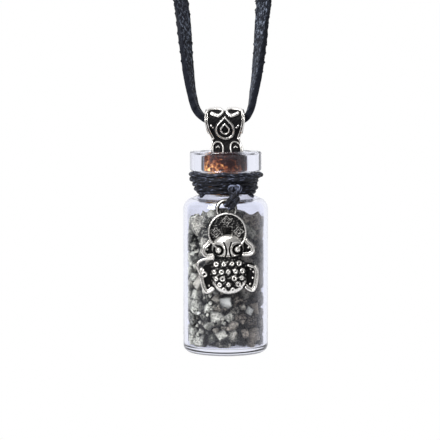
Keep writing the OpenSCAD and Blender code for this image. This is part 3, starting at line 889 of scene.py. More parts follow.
@dataclass
class Bail:
    """Cast bail: a plate that rises from the cork, goes round the lace and comes down behind."""

    silver: Material
    foot_z: float
    height: float = 9.35
    half_width: float = 4.25
    bore_r: float = 2.1
    wall: float = 0.8
    foot_depth: float = 2.6
    waist_depth: float = 1.7
    relief: float = 0.36
    bevel: float = 0.2
    flare: float = 0.65
    post_r: float = 0.8
    post_length: float = 6.5
    # Sideways offset of the foot and of the upper part
    sway: tuple[float, float] = (0.3, -0.2)

    # Share of the height, share of the half width
    OUTLINE = (
        (0, 0.8), (0.05, 0.82), (0.14, 0.79), (0.28, 0.7), (0.38, 0.77), (0.5, 0.88), (0.68, 0.99), (0.8, 1),
        (0.9, 0.96), (0.965, 0.86), (0.995, 0.66), (1, 0.5),
    )
    # Share of the bore's height, share of the way from waist to foot
    SIDE = ((0, 1), (0.1, 0.95), (0.2, 0.55), (0.32, 0.08), (0.45, 0), (0.6, 0.12), (0.75, 0.6), (0.88, 1.2))
    # Curls of the front's left half: half width, height, steps from point to point (one keeps it straight), and
    # the points in millimetres from the front's middle and above its foot
    CURLS = (
        (0.36, 1.0, 4, (
            (-3.85, 8.3), (-3.35, 8.95), (-2.3, 9.2), (-1.2, 9.2), (-0.5, 8.9), (-0.42, 8.5), (-0.8, 8.05),
            (-1.4, 7.7),
        )),
        (0.44, 0.95, 4, ((-1.3, 7.75), (-1.9, 7.85), (-2.75, 8.2))),
        (0.34, 0.72, 4, (
            (-3.0, 0.2), (-2.95, 1.2), (-2.55, 1.95), (-1.8, 2.28), (-1.1, 1.95), (-0.8, 1.2), (-0.85, 0.2),
        )),
        (0.24, 0.72, 1, ((-2.2, 1.0), (-1.85, 1.3), (-1.55, 1.0))),
    )
    # Round pips: place likewise, and radius
    PIPS = ((-2.85, 5.75, 0.27), (-2.5, 5.4, 0.22), (-2.75, 2.9, 0.34))

    @property
    def bore_up(self) -> float:
        """Height of the bore's middle above the foot."""
        return self.height - self.bore_r - self.wall

    def profile(self) -> tuple[Array, Array]:
        """Plate's outer and inner line in the (Y, Z) plane, from the front foot over the bore to the back foot.

        Below the bore the outer line follows the side's table and the inner one the middle plane. Round the
        bore both are arcs, and their points pair off along rays.

        Returns:
            Outer and inner points, row by row.
        """
        up, ring = self.bore_up, self.bore_r + self.wall
        side = curve_through(self.SIDE, 8)
        side = side[side[:, 0] <= 0.8]
        depth = self.waist_depth + (self.foot_depth - self.waist_depth) * side[:, 1]
        low = evenly(coords(-depth, side[:, 0] * up), 0.08)
        join = np.degrees(np.arctan2(low[-1, 1] - up, ring * 0.9))
        outer = np.vstack([low, arc((0, up), (-ring, ring), join + 8, 90, 56)])
        stem = np.linspace(0, up - self.bore_r, len(low))
        inner = np.vstack([coords(-0.02, stem), arc((0, up), (-self.bore_r, self.bore_r), -85, 90, 56)])
        return tuple(np.vstack([half, (half[:-1] * [-1, 1])[::-1]]) for half in (outer, inner))

    def drop(self, x: Array, z: Array, low: float, radius: float, top: float) -> Array:
        """Distance from the edge of a teardrop: a circle with a point above it.

        Args:
            x: first coordinate of the places.
            z: second coordinate of the places.
            low: height of the circle's lowest point.
            radius: radius of the circle.
            top: height of the point.

        Returns:
            Distance of each place from the outline.
        """
        middle = low + radius
        lean = np.degrees(np.arcsin(radius / (top - middle)))
        line = np.vstack([[0, top], arc((0, middle), (radius, radius), 180 - lean, 360 + lean, 40), [0, top]])
        return to_line(x, z, line)

    def ornament(self, x: Array, z: Array, width: Array) -> Array:
        """Raised ornament over a front: two teardrops, curls at the corners and a double line down each side.

        Args:
            x: place across the front.
            z: height above the foot.
            width: half width of the front at each place.

        Returns:
            Height of the ornament, in millimetres, before its ground.
        """
        left, inside = -np.abs(x), width - np.abs(x)
        parts = [
            wire(self.drop(x, z, 2.98, 1.88, 7.5), 0.27, 1.0),
            wire(self.drop(x, z, 4.02, 0.86, 6.1), 0.2, 0.9),
            wire(np.hypot(x, z - 4.75), 0.36, 0.55),
            wire(inside - 0.14, 0.2, 0.95),
            wire(inside - 0.56, 0.16, 0.8) * (z > 2.9) * (z < 8.2),
        ]
        for half, high, steps, points in self.CURLS:
            parts.append(wire(to_line(left, z, curve_through(points, steps)), half, high))
        parts += [wire(np.hypot(left - px, z - pz), r, 1.0) for px, pz, r in self.PIPS]
        made = np.maximum.reduce(parts)
        return made - wire(self.drop(x, z, 2.93, 1.95, 7.7), 0.08, 0.4) * (made > 0.3)

    def width_at(self, z: Array) -> Array:
        """Half width of the front at heights above the foot.

        Args:
            z: the heights.

        Returns:
            One half width for each.
        """
        shape = curve_through(self.OUTLINE, 6)
        order = np.argsort(shape[:, 0], kind="stable")
        return np.interp(z / self.height, shape[order, 0], shape[order, 1]) * self.half_width

    def surface(self) -> tuple[Array, Array]:
        """The plate's whole skin: outer face across, round the edge, inner face back and round the other edge.

        Returns:
            The grid of points and its tone.
        """
        outer, inner = self.profile()
        width = self.width_at(outer[:, 1:])
        x = np.linspace(-1, 1, 141) * width
        run = np.gradient(outer, axis=0)
        normal = unit(coords(-run[:, 1], run[:, 0]))
        z = np.broadcast_to(outer[:, 1:], x.shape)
        raised = self.ornament(x, z, width)
        near = np.clip(1 - (width - np.abs(x)) / self.bevel, 0, 1)
        lift = self.relief * raised - self.bevel * (1 - np.sqrt(1 - near**2))
        lift -= 0.5 * np.exp(-((x / 0.45) ** 2)) * step_up(0.92, 0.99, z / self.height)
        lift += 0.015 * ripple(coords(x, z), 0.8, 21)
        front = coords(x, outer[:, :1] + normal[:, :1] * lift, outer[:, 1:] + normal[:, 1:] * lift)
        back_x = np.linspace(1, -1, 17) * self.width_at(inner[:, 1:])
        wider = 1 + self.flare / self.bore_r * step_up(0.55, 1.0, np.abs(back_x) / self.half_width)
        spread = np.where(inner[:, 1:] < self.bore_up - 0.98 * self.bore_r, 1.0, wider)
        back = coords(back_x, inner[:, :1] * spread, self.bore_up + (inner[:, 1:] - self.bore_up) * spread)
        bright = step_up(0.5, 0.95, raised)
        tone = np.concatenate([bright, np.full(back_x.shape, 0.5), bright[:, :1]], axis=1)
        return closed(np.concatenate([front, back, front[:, :1]], axis=1), tone)

    def build(self) -> None:
        """Makes the bail and its post in the cork."""
        shell = Shell()
        grid, tone = self.surface()
        foot, upper = self.sway
        grid[..., 0] += foot + (upper - foot) * step_up(0, 0.6 * self.height, grid[..., 2])
        shell.add_grid(grid + [0, 0, self.foot_z], tone=tone)
        r, low = self.post_r, -self.post_length
        post = np.array([[0, low], [r, low], [r, 0.5], [0, 0.5]])
        shell.add_grid(lathe(post, np.array([0, 0, self.foot_z]), 24), tone=0.5)
        shell.piece("bail_casting", "bail", self.silver)


@dataclass
class Vial:
    """Blown glass vial with the cork in its mouth."""

    clear: Material
    bark: Material
    base: float
    height: float
    radius: float
    cork_top: float
    cork_low: float
    cork_r: float
    cork_bevel: float = 0.35
    wall: float = 0.8
    floor: float = 1.8
    floor_r: float = 0.45
    # Half width and half height of the base's rounded edge, and how far the blown base stays off the ground
    heel: tuple[float, float] = (1.9, 1.7)
    lift: float = 0.3
    # Radius of the shoulder's corner, its slope above that in degrees, and radius of the hollow at the neck
    corner: float = 2.6
    slope: float = 20.0
    hollow: float = 0.5
    mouth_r: float = 4.7
    neck_wall: float = 0.6
    neck: float = 5.6
    rim_r: float = 7.6
    rim: float = 4.2
    rim_round: float = 0.45
    # Half width and half height of the mouth's rounded edge
    lip: tuple[float, float] = (1.3, 1.1)

    def glass(self) -> None:
        """Turns the wall's outline, outside then inside, about the axis."""
        top = self.height
        rim_low = top - self.rim
        shoulder_top = rim_low - self.neck
        neck_r = self.mouth_r + self.neck_wall
        inner = self.radius - self.wall
        edge, edges = self.rim_round, (self.rim_round, self.rim_round)
        corner_at = np.array([self.radius, shoulder_top + 0.1]) - self.corner
        inner_corner = self.corner - self.wall
        lean = np.radians(self.slope)
        rise, normal = np.tan(lean), np.array([np.sin(lean), np.cos(lean)])
        tip, inner_tip = corner_at + self.corner * normal, corner_at + inner_corner * normal
        hub_r = neck_r + self.hollow
        hub = (hub_r, tip[1] + (tip[0] - hub_r) * rise + self.hollow / normal[1])
        mouth_r, mouth_low = self.mouth_r, inner_tip[1] + (inner_tip[0] - self.mouth_r) * rise
        heel_wide, heel_high = self.heel
        lip_wide, lip_high = self.lip
        line = np.vstack([
            [[0, self.lift + 0.12], [6, self.lift + 0.06]],
            arc((self.radius - heel_wide, self.lift + heel_high), self.heel, -90, 0, 20),
            [[self.radius, 0.5 * shoulder_top]],
            arc(corner_at, (self.corner, self.corner), 0, 90 - self.slope, 24),
            arc(hub, (self.hollow, self.hollow), 270 - self.slope, 180, 8),
            [[neck_r, rim_low - 0.4]],
            arc((self.rim_r - edge, rim_low + edge), edges, -90, 0, 8),
            arc((self.rim_r - edge, top - edge), edges, 0, 90, 8),
            arc((mouth_r + lip_wide, top - lip_high), self.lip, 90, 180, 12),
            [[mouth_r, mouth_low + 0.5], [mouth_r + 0.12, mouth_low + 0.15], [mouth_r + 0.5, mouth_low - 0.18]],
            arc(corner_at, (inner_corner, inner_corner), 90 - self.slope, 0, 20),
            [[inner, 0.5 * shoulder_top]],
            arc((inner - self.floor_r, self.floor + self.floor_r), (self.floor_r, self.floor_r), 0, -90, 8),
            [[4, self.floor + 0.02], [0, self.floor + 0.03]],
        ])
        shell = Shell()
        shell.add_grid(lathe(line, np.array([0, 0, self.base]), 160))
        shell.piece("glass_vial", "bottle", self.clear)

    def cork(self) -> None:
        """Turned cork with crumbled edges and pores, its surface moved in by noise."""
        r, b, low, top = self.cork_r, self.cork_bevel, self.cork_low, self.cork_top
        corner = np.array([[0, low], [r - b, low], [r, low + b], [r, top - b], [r - b, top], [0, top]])
        grid = lathe(evenly(corner, 0.16), np.zeros(3), 180)
        pits = np.maximum(ripple(grid, 1.5, 31) - 0.9, 0) + 0.5 * np.maximum(ripple(grid, 0.7, 32) - 1.0, 0)
        sink = 0.16 * np.clip(pits, 0, 1.5) + 0.02 * (1 + ripple(grid, 0.5, 33).clip(-1, 1))
        inwards = -unit(grid * [1, 1, 0])
        to_middle = np.where(grid[..., 2:] > (top + low) / 2, -1.0, 1.0) * [0, 0, 1]
        end = np.hypot(grid[..., :1], grid[..., 1:2]) < r - b
        shell = Shell()
        shell.add_grid(grid + sink[..., None] * np.where(end, to_middle, inwards))
        shell.piece("cork_stopper", "cork", self.bark)


@dataclass
class PyriteFill:
    """Crushed pyrite that fills the vial's body."""

    finish: Material
    base: float
    inner_r: float = 8.15
    floor: float = 1.95
    top: float = 29.3
    heap: float = 1.4
    stones: int = 590
    grit: int = 500
    rounds: int = 120
    shell: Shell = field(default_factory=Shell)

    # Radii of the stones, and the share of each
    RADII = (0.78, 1.0, 1.3, 1.65)
    SHARES = (0.3, 0.35, 0.25, 0.1)
    # Points on a stone's cut corners: three on each of the eight
    CORNER_POINTS = 24
    # Distance in millimetres put between a stone and itself, so that the two never push
    APART = 99

    def settled(self) -> tuple[Array, Array]:
        """Stones pushed apart until they only just touch, between the glass and the heap's top.

        In each round every pair nearer than the sum of its radii moves apart by half of what is missing.

        Returns:
            Middles and radii.
        """
        random = np.random.default_rng(5)
        r = random.choice(self.RADII, self.stones, p=self.SHARES)
        r = r * random.uniform(0.9, 1.12, self.stones)
        a, d = random.uniform(0, 2 * np.pi, self.stones), np.sqrt(random.uniform(0, 1, self.stones))
        at = coords(d * np.cos(a), d * np.sin(a), 0.0) * (self.inner_r - 1)
        at[:, 2] = random.uniform(self.floor + 1, self.top - 1, self.stones)
        for _ in range(self.rounds):
            gap = at[:, None] - at[None]
            far = np.linalg.norm(gap, axis=-1) + np.eye(self.stones) * self.APART
            lack = np.maximum(0.97 * (r[:, None] + r[None]) - far, 0)
            at += 0.5 * (gap / far[..., None] * lack[..., None]).sum(axis=1).clip(-0.6, 0.6)
            out = np.hypot(at[:, 0], at[:, 1])
            most = self.inner_r - 0.72 * r
            at[:, :2] *= np.minimum(1, most / np.maximum(out, 1e-6))[:, None]
            at[:, 2] = np.clip(at[:, 2], self.floor + 0.85 * r, self.level(out) - 0.7 * r)
        return at, r

    def level(self, out: Array) -> Array:
        """Height of the fill's top at distances from the axis: level, with a heap in the middle."""
        return self.top + self.heap * step_up(5.4, 2.0, out)

    def shapes(self, at: Array, r: Array, seed: int) -> None:
        """Cubes with cut corners, stretched, bent and turned at random, with a point in each side.

        Each corner is cut through three points: (1 - c, 1, 1), (1, 1 - c, 1) and (1, 1, 1 - c), times its signs.

        Args:
            at: middles of the stones.
            r: their radii.
            seed: number that picks the shapes.
        """
        random = np.random.default_rng(seed)
        count = len(at)
        signs = np.stack(np.meshgrid([-1, 1], [-1, 1], [-1, 1], indexing="ij"), axis=-1).reshape(8, 1, 3)
        cut = random.uniform(0.12, 0.95, (count, 8, 3)) * random.uniform(0.3, 1.0, (count, 1, 1))
        corner = signs * (1 - np.eye(3) * cut[..., None])
        sides = np.concatenate([np.eye(3), -np.eye(3)])
        corner = corner.reshape(count, self.CORNER_POINTS, 3)
        points = np.concatenate([corner, np.broadcast_to(sides, (count, *sides.shape))], axis=1)
        points = points * (0.8 * random.uniform(0.72, 1.18, (count, 1, 3)))
        points = points + random.normal(0, 0.06, points.shape)
        turn = unit(random.normal(size=(count, 4)))
        w, v = turn[:, None, :1], turn[:, None, 1:]
        points = points + 2 * np.cross(v, np.cross(v, points) + w * points)
        points = points * r[:, None, None] + at[:, None]
        out = np.hypot(points[..., 0], points[..., 1])
        points[..., :2] *= np.minimum(1, (self.inner_r - 0.03) / np.maximum(out, 1e-6))[..., None]
        points[..., 2] = np.maximum(points[..., 2], self.floor)
        out = np.hypot(points[..., 0], points[..., 1])
        # Exposure, the share out of the painted shade: low deep in the fill and on sides that face inwards, high
        # on the heap's top
        outwards = unit(at * [1, 1, 0])[:, None]
        unshaded = step_up(self.inner_r - 1.7, self.inner_r - 0.4, out)
        unshaded = unshaded * step_up(0.0, 0.85, (unit(points - at[:, None]) * outwards).sum(axis=-1))
        unshaded = np.maximum(unshaded, 0.8 * step_up(-1.4, -0.3, points[..., 2] - self.level(out)))
        each = points.shape[1]
        index = (np.arange(count)[:, None, None] * each + self.stone_faces()).reshape(-1, 3)
        tone = random.uniform(0, 1, count)
        tone = np.repeat(np.where(at[:, 2] < self.top - 3, tone, 0.8 * tone), each)
        # Browner towards the right: the brown is the stones' colour, and its darker values are painted shade on
        # the side away from the key lamp
        brown = step_up(-7, 6, at[:, 0] + random.normal(0, 3, count))
        own = coords(np.repeat(brown, each), unshaded.ravel())
        self.shell.add_faces((points + [0, 0, self.base]).reshape(-1, 3), index, own, tone)

    def stone_faces(self) -> Array:
        """Triangles of one stone: its eight cut corners, and a fan round the point of each side.

        Returns:
            Rows of three point numbers, of which corner k holds 3k, 3k + 1 and 3k + 2, and side s is 24 + s.
        """
        bits = np.stack(np.meshgrid([0, 1], [0, 1], [0, 1], indexing="ij"), axis=-1).reshape(8, 3)
        faces = []
        for k, bit in enumerate(bits):
            tri = [3 * k, 3 * k + 1, 3 * k + 2]
            faces.append(tri if bit.sum() % 2 else tri[::-1])
        for side in range(6):
            axis, high = side % 3, 1 - side // 3
            u, v = (axis + 1) % 3, (axis + 2) % 3
            ring = []
            for step, (a, b) in enumerate(((0, 0), (1, 0), (1, 1), (0, 1))):
                k = int(np.flatnonzero((bits[:, axis] == high) & (bits[:, u] == a) & (bits[:, v] == b))[0])
                ring += [3 * k + v, 3 * k + u] if step % 2 == 0 else [3 * k + u, 3 * k + v]
            ring = ring if high else ring[::-1]
            faces += [[self.CORNER_POINTS + side, ring[i], ring[(i + 1) % 8]] for i in range(8)]
        return np.array(faces)

    def build(self) -> None:
        """Makes all stones as one mesh, with grit in the gaps along the glass."""
        at, r = self.settled()
        self.shapes(at, 1.08 * r, 41)
        random = np.random.default_rng(42)
        small = random.uniform(0.35, 0.6, self.grit)
        a = random.uniform(0, 2 * np.pi, self.grit)
        d = self.inner_r - small - random.uniform(0.0, 1.0, self.grit)
        z = random.uniform(self.floor + 0.4, self.top - 0.8, self.grit)
        self.shapes(coords(d * np.cos(a), d * np.sin(a), z), small, 43)
        self.shell.piece("pyrite_chips", "chips", self.finish, smooth=False)


@dataclass
class Binding:
    """Waxed thread: the turns round the vial's neck, their loose ends, the knot and the charm's sling."""

    finish: Material
    base: float
    # Where the sling crosses the charm's ring, the direction out from the ring's middle, and its wire's radius
    ring_at: Array
    wire_r: float
    neck_r: float = 5.3
    shoulder_top: float = 33.4
    thread: float = 1.15
    pressed: float = 0.84
    sling: float = 1.1
    knot_at: tuple[float, float, float] = (1.9, -8.45, 35.3)

    # Each turn at the vial's left, front and right: outer radius, and height above the vial's base
    TURNS = (
        ((7.8, 38.28), (7.75, 38.3), (7.78, 38.15)), ((7.78, 37.25), (7.75, 37.4), (6.95, 37.05)),
        ((7.15, 36.2), (7.35, 36.5), (6.7, 36.2)), ((6.75, 35.2), (6.9, 35.6), (6.9, 35.45)),
        ((6.2, 34.55), (6.4, 34.75), (6.4, 34.6)),
    )
    # One more strand that climbs over the others at the front right: turns from the front, radius, height
    CROSSING = (
        (-0.16, 7.2, 36.8), (-0.1, 7.7, 37.05), (0.0, 7.95, 37.3), (0.08, 8.0, 37.6), (0.17, 7.95, 37.95),
        (0.25, 7.9, 38.1), (0.34, 7.5, 38.0),
    )

    def rope(self, path: Array, across: Array, radius: Array | float, seed: int, squash: float = 1.0) -> Array:
        """Round cord with closed ends, its strands showing as soft ridges that wind round it.

        The radius is r (0.92 + 0.14 |cos(1.5 a + 1.9 s)| + noise), where a is the angle and s the length.

        Args:
            path: places along the cord.
            across: direction that the section's angle starts from, one for all or one for each place.
            radius: half the cord's width along its section's first axis, likewise.
            seed: number that picks the unevenness.
            squash: height of the section as a share of the cord's greatest width.

        Returns:
            The grid of points.
        """
        widest = float(np.max(radius))
        long_path, radii = with_round_ends(path, widest)
        pad = (len(long_path) - len(path)) // 2
        across = np.pad(np.broadcast_to(across, path.shape), ((pad, pad), (0, 0)), mode="edge")
        width = np.pad(np.broadcast_to(radius, len(path)) / widest, pad, mode="edge")
        a, s = angles(24), run_length(long_path)[:, None]
        strand = 0.14 * np.abs(np.cos(1.5 * a + 1.9 * s)) - 0.08
        spots = coords(s, 2 * np.cos(a), 2 * np.sin(a))
        r = radii[:, None] * (1 + strand + 0.05 * ripple(spots, 2.2, seed))
        return swept(long_path, across, coords(r * width[:, None] * np.cos(a), squash * r * np.sin(a)))

    def winding(self) -> list[Array]:
        """One thread that goes round and down through the places of the turns' table, and the crossing.

        Returns:
            A grid of points for each.
        """
        stations, made = [(0.25, *self.TURNS[0][2])], []
        for turn, (left, front, right) in enumerate(self.TURNS):
            before = stations[-1]
            back = [(before[1] + left[0]) / 2, (before[2] + left[1]) / 2]
            stations += [(turn + 0.5, *back), (turn + 0.75, *left), (turn + 1, *front), (turn + 1.25, *right)]
        for table, seed in ((stations, 51), (self.CROSSING, 58)):
            way, outer, height = evenly(curve_through(table, 40), 0.008).T
            half = (outer - np.maximum(outer - self.thread, self.neck_r + 0.05)) / 2
            middle = outer - half + 0.05 * ripple(way[:, None] * 40, 3.0, seed)
            height = height + 0.08 * ripple(way[:, None] * 40, 6.0, seed + 1)
            a = 2 * np.pi * way
            path = coords(middle * np.sin(a), -middle * np.cos(a), height + self.base)
            made.append(self.rope(path, path * [1, 1, 0], half, seed + 2, self.pressed))
        return made

    def loose_ends(self) -> list[Array]:
        """Two cut ends that stick out under the turns.

        Returns:
            A grid of points for each.
        """
        low, made = self.base + self.shoulder_top, []
        for side, x in ((Side.LEFT, -4.7), (Side.RIGHT, 5.1)):
            y = -np.sqrt(6.2**2 - x**2)
            points = ((0.85 * x, y, low + 1.5), (0.98 * x, 1.1 * y, low + 0.95), (1.1 * x, 1.2 * y, low + 0.45))
            path = evenly(curve_through(points, 6), 0.12)
            made.append(self.rope(path, np.array([0.0, 1.0, 0.0]), 0.38, 54 + side.value))
        return made

    def knot(self) -> Array:
        """Overhand knot: the trefoil (sin t + 2 sin 2t, cos t - 2 cos 2t, -sin 3t), pressed flat.

        Returns:
            The grid of points.
        """
        t = np.linspace(0, 2 * np.pi, 160)
        form = coords(np.sin(t) + 2 * np.sin(2 * t), -0.9 * np.sin(3 * t), np.cos(t) - 2 * np.cos(2 * t))
        form = form * [0.36, 0.5, 0.33]
        return self.rope(form + self.knot_place, unit(form) + [0, 0.3, 0], 0.5, 57)

    @property
    def knot_place(self) -> Array:
        """Middle of the knot."""
        return np.array(self.knot_at) + [0, 0, self.base]

    def sling_loops(self) -> list[Array]:
        """Doubled thread from the knot down through the charm's ring and back up.

        Returns:
            A grid of points for each of the two threads.
        """
        centre, out = self.ring_at
        beside = np.array([-out[2], 0, out[0]])
        knot, made = self.knot_place, []
        reach = self.wire_r + self.sling / 2 + 0.05
        front = np.array([0.0, -1.0, 0.0])
        for side in Side:
            shift = side.value * 0.5 * self.sling * beside
            points = np.array([
                knot + 0.5 * front + shift, knot + 0.95 * front + [-0.2, 0, -1.1] + 1.1 * shift,
                centre + 1.3 * out + (reach + 0.25) * front + 0.8 * shift,
                centre + 0.3 * out + (reach + 0.1) * front + shift,
                centre - 0.8 * reach * out + 0.75 * reach * front + shift, centre - 1.15 * reach * out + shift,
                centre - 0.8 * reach * out - 0.75 * reach * front + shift, centre - reach * front + shift,
                centre + 0.9 * out - reach * front + shift, knot + [-0.3, 0.4, -1] + shift,
                knot - 0.5 * front + shift,
            ])
            path = evenly(curve_through(points, 8), 0.12)
            made.append(self.rope(path, beside, self.sling / 2, 60 + side.value))
        return made

    def build(self) -> None:
        """Makes the winding with its ends, and the sling with its knot, whose tone is the paler one."""
        wound, tied = Shell(), Shell()
        for shell, ropes, tone in (
            (wound, self.winding() + self.loose_ends(), 0.0), (tied, [self.knot()], 1.0),
            (tied, self.sling_loops(), 0.0),
        ):
            for grid in ropes:
                shell.add_grid(grid, length_map(grid), tone)
        wound.piece("thread_turns", "neck_winding", self.finish)
        tied.piece("charm_sling", "tie", self.finish)


@dataclass
class ToadCharm:
    """Cast charm in one piece: a ring, a coin with a square hole and the toad that holds it."""

    silver: Material
    back_y: float
    top_z: float
    height: float = 20.0
    lean: float = 2.5
    plate: float = 0.9
    coin_r: float = 4.1
    coin_up: float = 13.0
    hole: float = 1.7
    ring_r: float = 1.9
    wire_r: float = 0.41
    ring_out: float = 0.42
    body_w: float = 7.8
    body_h: float = 7.7
    body_dome: float = 1.5
    head_w: float = 6.7
    head_up: float = 9.6
    head_dome: float = 1.7
    eye_at: tuple[float, float] = (2.02, 9.32)
    shell: Shell = field(default_factory=Shell)

    # Height above the body's lowest point as a share of its height, then places as shares of its half width
    WARTS = (
        (0.835, (-0.67, -0.24, 0.18, 0.57)), (0.625, (-0.79, -0.4, -0.03, 0.36, 0.73)),
        (0.435, (-0.71, -0.36, 0.27, 0.68)), (0.27, (-0.53, -0.05, 0.47)), (0.12, (-0.32, 0.17)),
    )
    # Lines of the legs' ridges, in millimetres from the charm's middle outwards and above its lowest point
    FRONT_LEG = (
        (3.95, 11.3), (4.3, 10.75), (4.95, 10.2), (5.33, 9.4), (5.2, 8.75), (4.7, 8.15), (3.9, 8.0), (3.1, 8.05),
    )
    HIND_LEG = ((5.6, 5.6), (5.95, 4.9), (5.85, 3.2), (5.5, 1.6), (4.9, 0.6), (4.1, 0.75), (3.4, 1.3))
    # The thigh shows on the left only. On the right a short bar takes its place.
    THIGH = ((3.1, 7.6), (5.1, 7.5), (6.13, 7.05), (6.48, 6.3), (6.33, 5.4), (6.05, 4.6))
    BAR = ((4.1, 5.85), (4.95, 5.55))
    # Two ridges side by side: distance of each from the leg's line, its radius, and its height over the ground
    RIDGES = ((0.0, 0.26, 0.2), (0.42, 0.18, 0.08))
    # Grooves down the brow, likewise
    BROW = ((0.78, 10.9), (0.34, 9.65), (0.3, 8.9), (0.6, 7.9))
    # Corners of the ground between legs and body, likewise
    WEB_FRONT = ((2.4, 11.6), (4.0, 11.3), (4.9, 10.1), (5.25, 9.3), (4.6, 8.15), (2.4, 7.7))
    WEB_HIND = ((2.7, 6.6), (5.0, 6.3), (5.85, 5.2), (5.8, 3.2), (5.4, 1.6), (4.8, 0.65), (2.7, 1.1))
    # Small knobs on that ground, with their radii: on both sides, and on the right only
    KNOBS = ((4.35, 9.55, 0.28), (4.3, 1.9, 0.25))
    RIGHT_KNOBS = ((5.14, 4.4, 0.3), (4.55, 5.05, 0.22), (4.9, 3.2, 0.24))

    def world(self, x: Array | float, up: Array | float, out: Array | float) -> Array:
        """Places in the pendant of places on the charm, which hangs from its top and leans.

        Args:
            x: across the charm.
            up: above its lowest point.
            out: in front of its flat back.

        Returns:
            Points with three coordinates.
        """
        c, s = np.cos(np.radians(self.lean)), np.sin(np.radians(self.lean))
        drop = up - self.height
        return coords(x * c - drop * s, self.back_y - out, self.top_z + x * s + drop * c)

    def add_form(self, x: Array, up: Array, out: Array, low: float, tone: Array, dull: float) -> None:
        """Adds a front whose rows run from its middle to its edge, and closes it with a flat back.

        Args:
            x: across the charm.
            up: above its lowest point.
            out: height of the front.
            low: height of the back.
            tone: the front's tone.
            dull: the back's tone.
        """
        rim = self.world(x[-1:], up[-1:], low)
        hub = np.broadcast_to(self.world(x[0, 0], up[0, 0], low), rim.shape)
        tone = np.concatenate([tone, np.full((2, x.shape[1]), dull)])
        self.shell.add_grid(np.concatenate([self.world(x, up, out), rim, hub]), tone=tone)

    def domed(
        self, up: float, edge: Array, dome: float, relief: Callable[..., tuple[Array, Array]], low: float
    ) -> None:
        """Closed form whose front is a dome with relief and whose back is flat.

        The front is 0.7 plate + dome (1 - p^2.6)^0.5 + relief, where p is 0 in the middle and 1 at the edge.

        Args:
            up: height of its middle.
            edge: distance of its edge from the middle, for each angle.
            dome: height of the dome.
            relief: function of place and p that gives height and tone.
            low: height of the flat back.
        """
        a = angles(len(edge) - 1)
        steps = [[0.0], np.linspace(0.02, 0.96, 56), np.sin(np.linspace(1.3, np.pi / 2, 8))]
        p = np.concatenate(steps)[:, None]
        x, up = p * edge * np.cos(a), up + p * edge * np.sin(a)
        height, tone = relief(x, up, np.broadcast_to(p, x.shape))
        out = 0.7 * self.plate + dome * np.clip(1 - p**2.6, 0, 1) ** 0.5 + height
        self.add_form(x, up, np.maximum(out, low + 0.1), low, tone, 0.35)

    def outline(self, half_width: float, above: float, below: float, power: float) -> Array:
        """Distance of an edge from the middle: (|cos|^n / w^n + |sin|^n / h^n)^(-1/n), h above or below.

        Args:
            half_width: half width of the form.
            above: its reach upwards.
            below: its reach downwards.
            power: n above the middle. Below it n is 2.1.

        Returns:
            The distance for each angle.
        """
        a = angles(220)
        n = np.where(np.sin(a) > 0, power, 2.1)
        reach = np.where(np.sin(a) > 0, above, below)
        return (np.abs(np.cos(a) / half_width) ** n + np.abs(np.sin(a) / reach) ** n) ** (-1 / n)

    def body_relief(self, x: Array, up: Array, p: Array) -> tuple[Array, Array]:
        """Warts as small rings with a pit, on a blackened ground inside a bright border.

        Args:
            x: across the charm.
            up: above its lowest point.
            p: 0 in the middle, 1 at the edge.

        Returns:
            Height and tone.
        """
        rings, spots = np.zeros(x.shape), coords(x, up)
        for row, places in self.WARTS:
            for place in places:
                d = np.hypot(x - place * self.body_w / 2, up - row * self.body_h)
                wide = 0.34 + 0.05 * np.sin(9 * place + 40 * row)
                rings = np.maximum(rings, wire(d - wide, 0.22, 1.0))
        lower = step_up(0.6, 0.15, up / self.body_h)
        border = wire(p - 0.93, 0.06 + 0.08 * lower, 1.0) * (0.3 + 0.7 * lower)
        raised = np.maximum(rings, border) * (1 - 0.12 * ripple(spots, 0.5, 71))
        dull = 0.3 * np.clip(ripple(spots, 0.7, 76), 0, 1)
        tone = np.maximum(step_up(0.5, 0.92, raised), dull)
        return 0.36 * raised - 0.14 + 0.03 * ripple(spots, 0.45, 72), tone

    def head_relief(self, x: Array, up: Array, p: Array) -> tuple[Array, Array]:
        """Ball eyes in dark moats with a ring round them, and two long grooves down the brow.

        Args:
            x: across the charm.
            up: above its lowest point.
            p: 0 in the middle, 1 at the edge.

        Returns:
            Height and tone.
        """
        side = np.abs(x)
        eye = np.hypot(side - self.eye_at[0], up - self.eye_at[1])
        ball = wire(eye, 0.64, 0.7)
        moat = wire(eye - 0.86, 0.26, 0.6)
        lid = wire(eye - 1.34, 0.22, 0.42) * step_up(0.9, -0.3, up - self.eye_at[1] + 0.4 * (side - 2.1))
        groove = wire(to_line(side, up, curve_through(self.BROW, 4)), 0.18, 0.4)
        lip = wire(p - 0.93, 0.07, 0.3) * (up < self.head_up)
        height = ball - moat + lid - groove + lip - 0.3 * step_up(2.0, 1.0, eye)
        tone = 0.9 - 1.2 * step_up(0.1, 0.35, moat) - 1.2 * step_up(0.05, 0.2, groove)
        tone -= 0.6 * step_up(1.75, 1.4, eye) * (ball < 0.1) * (lid < 0.15)
        return height, np.clip(tone, 0, 1)

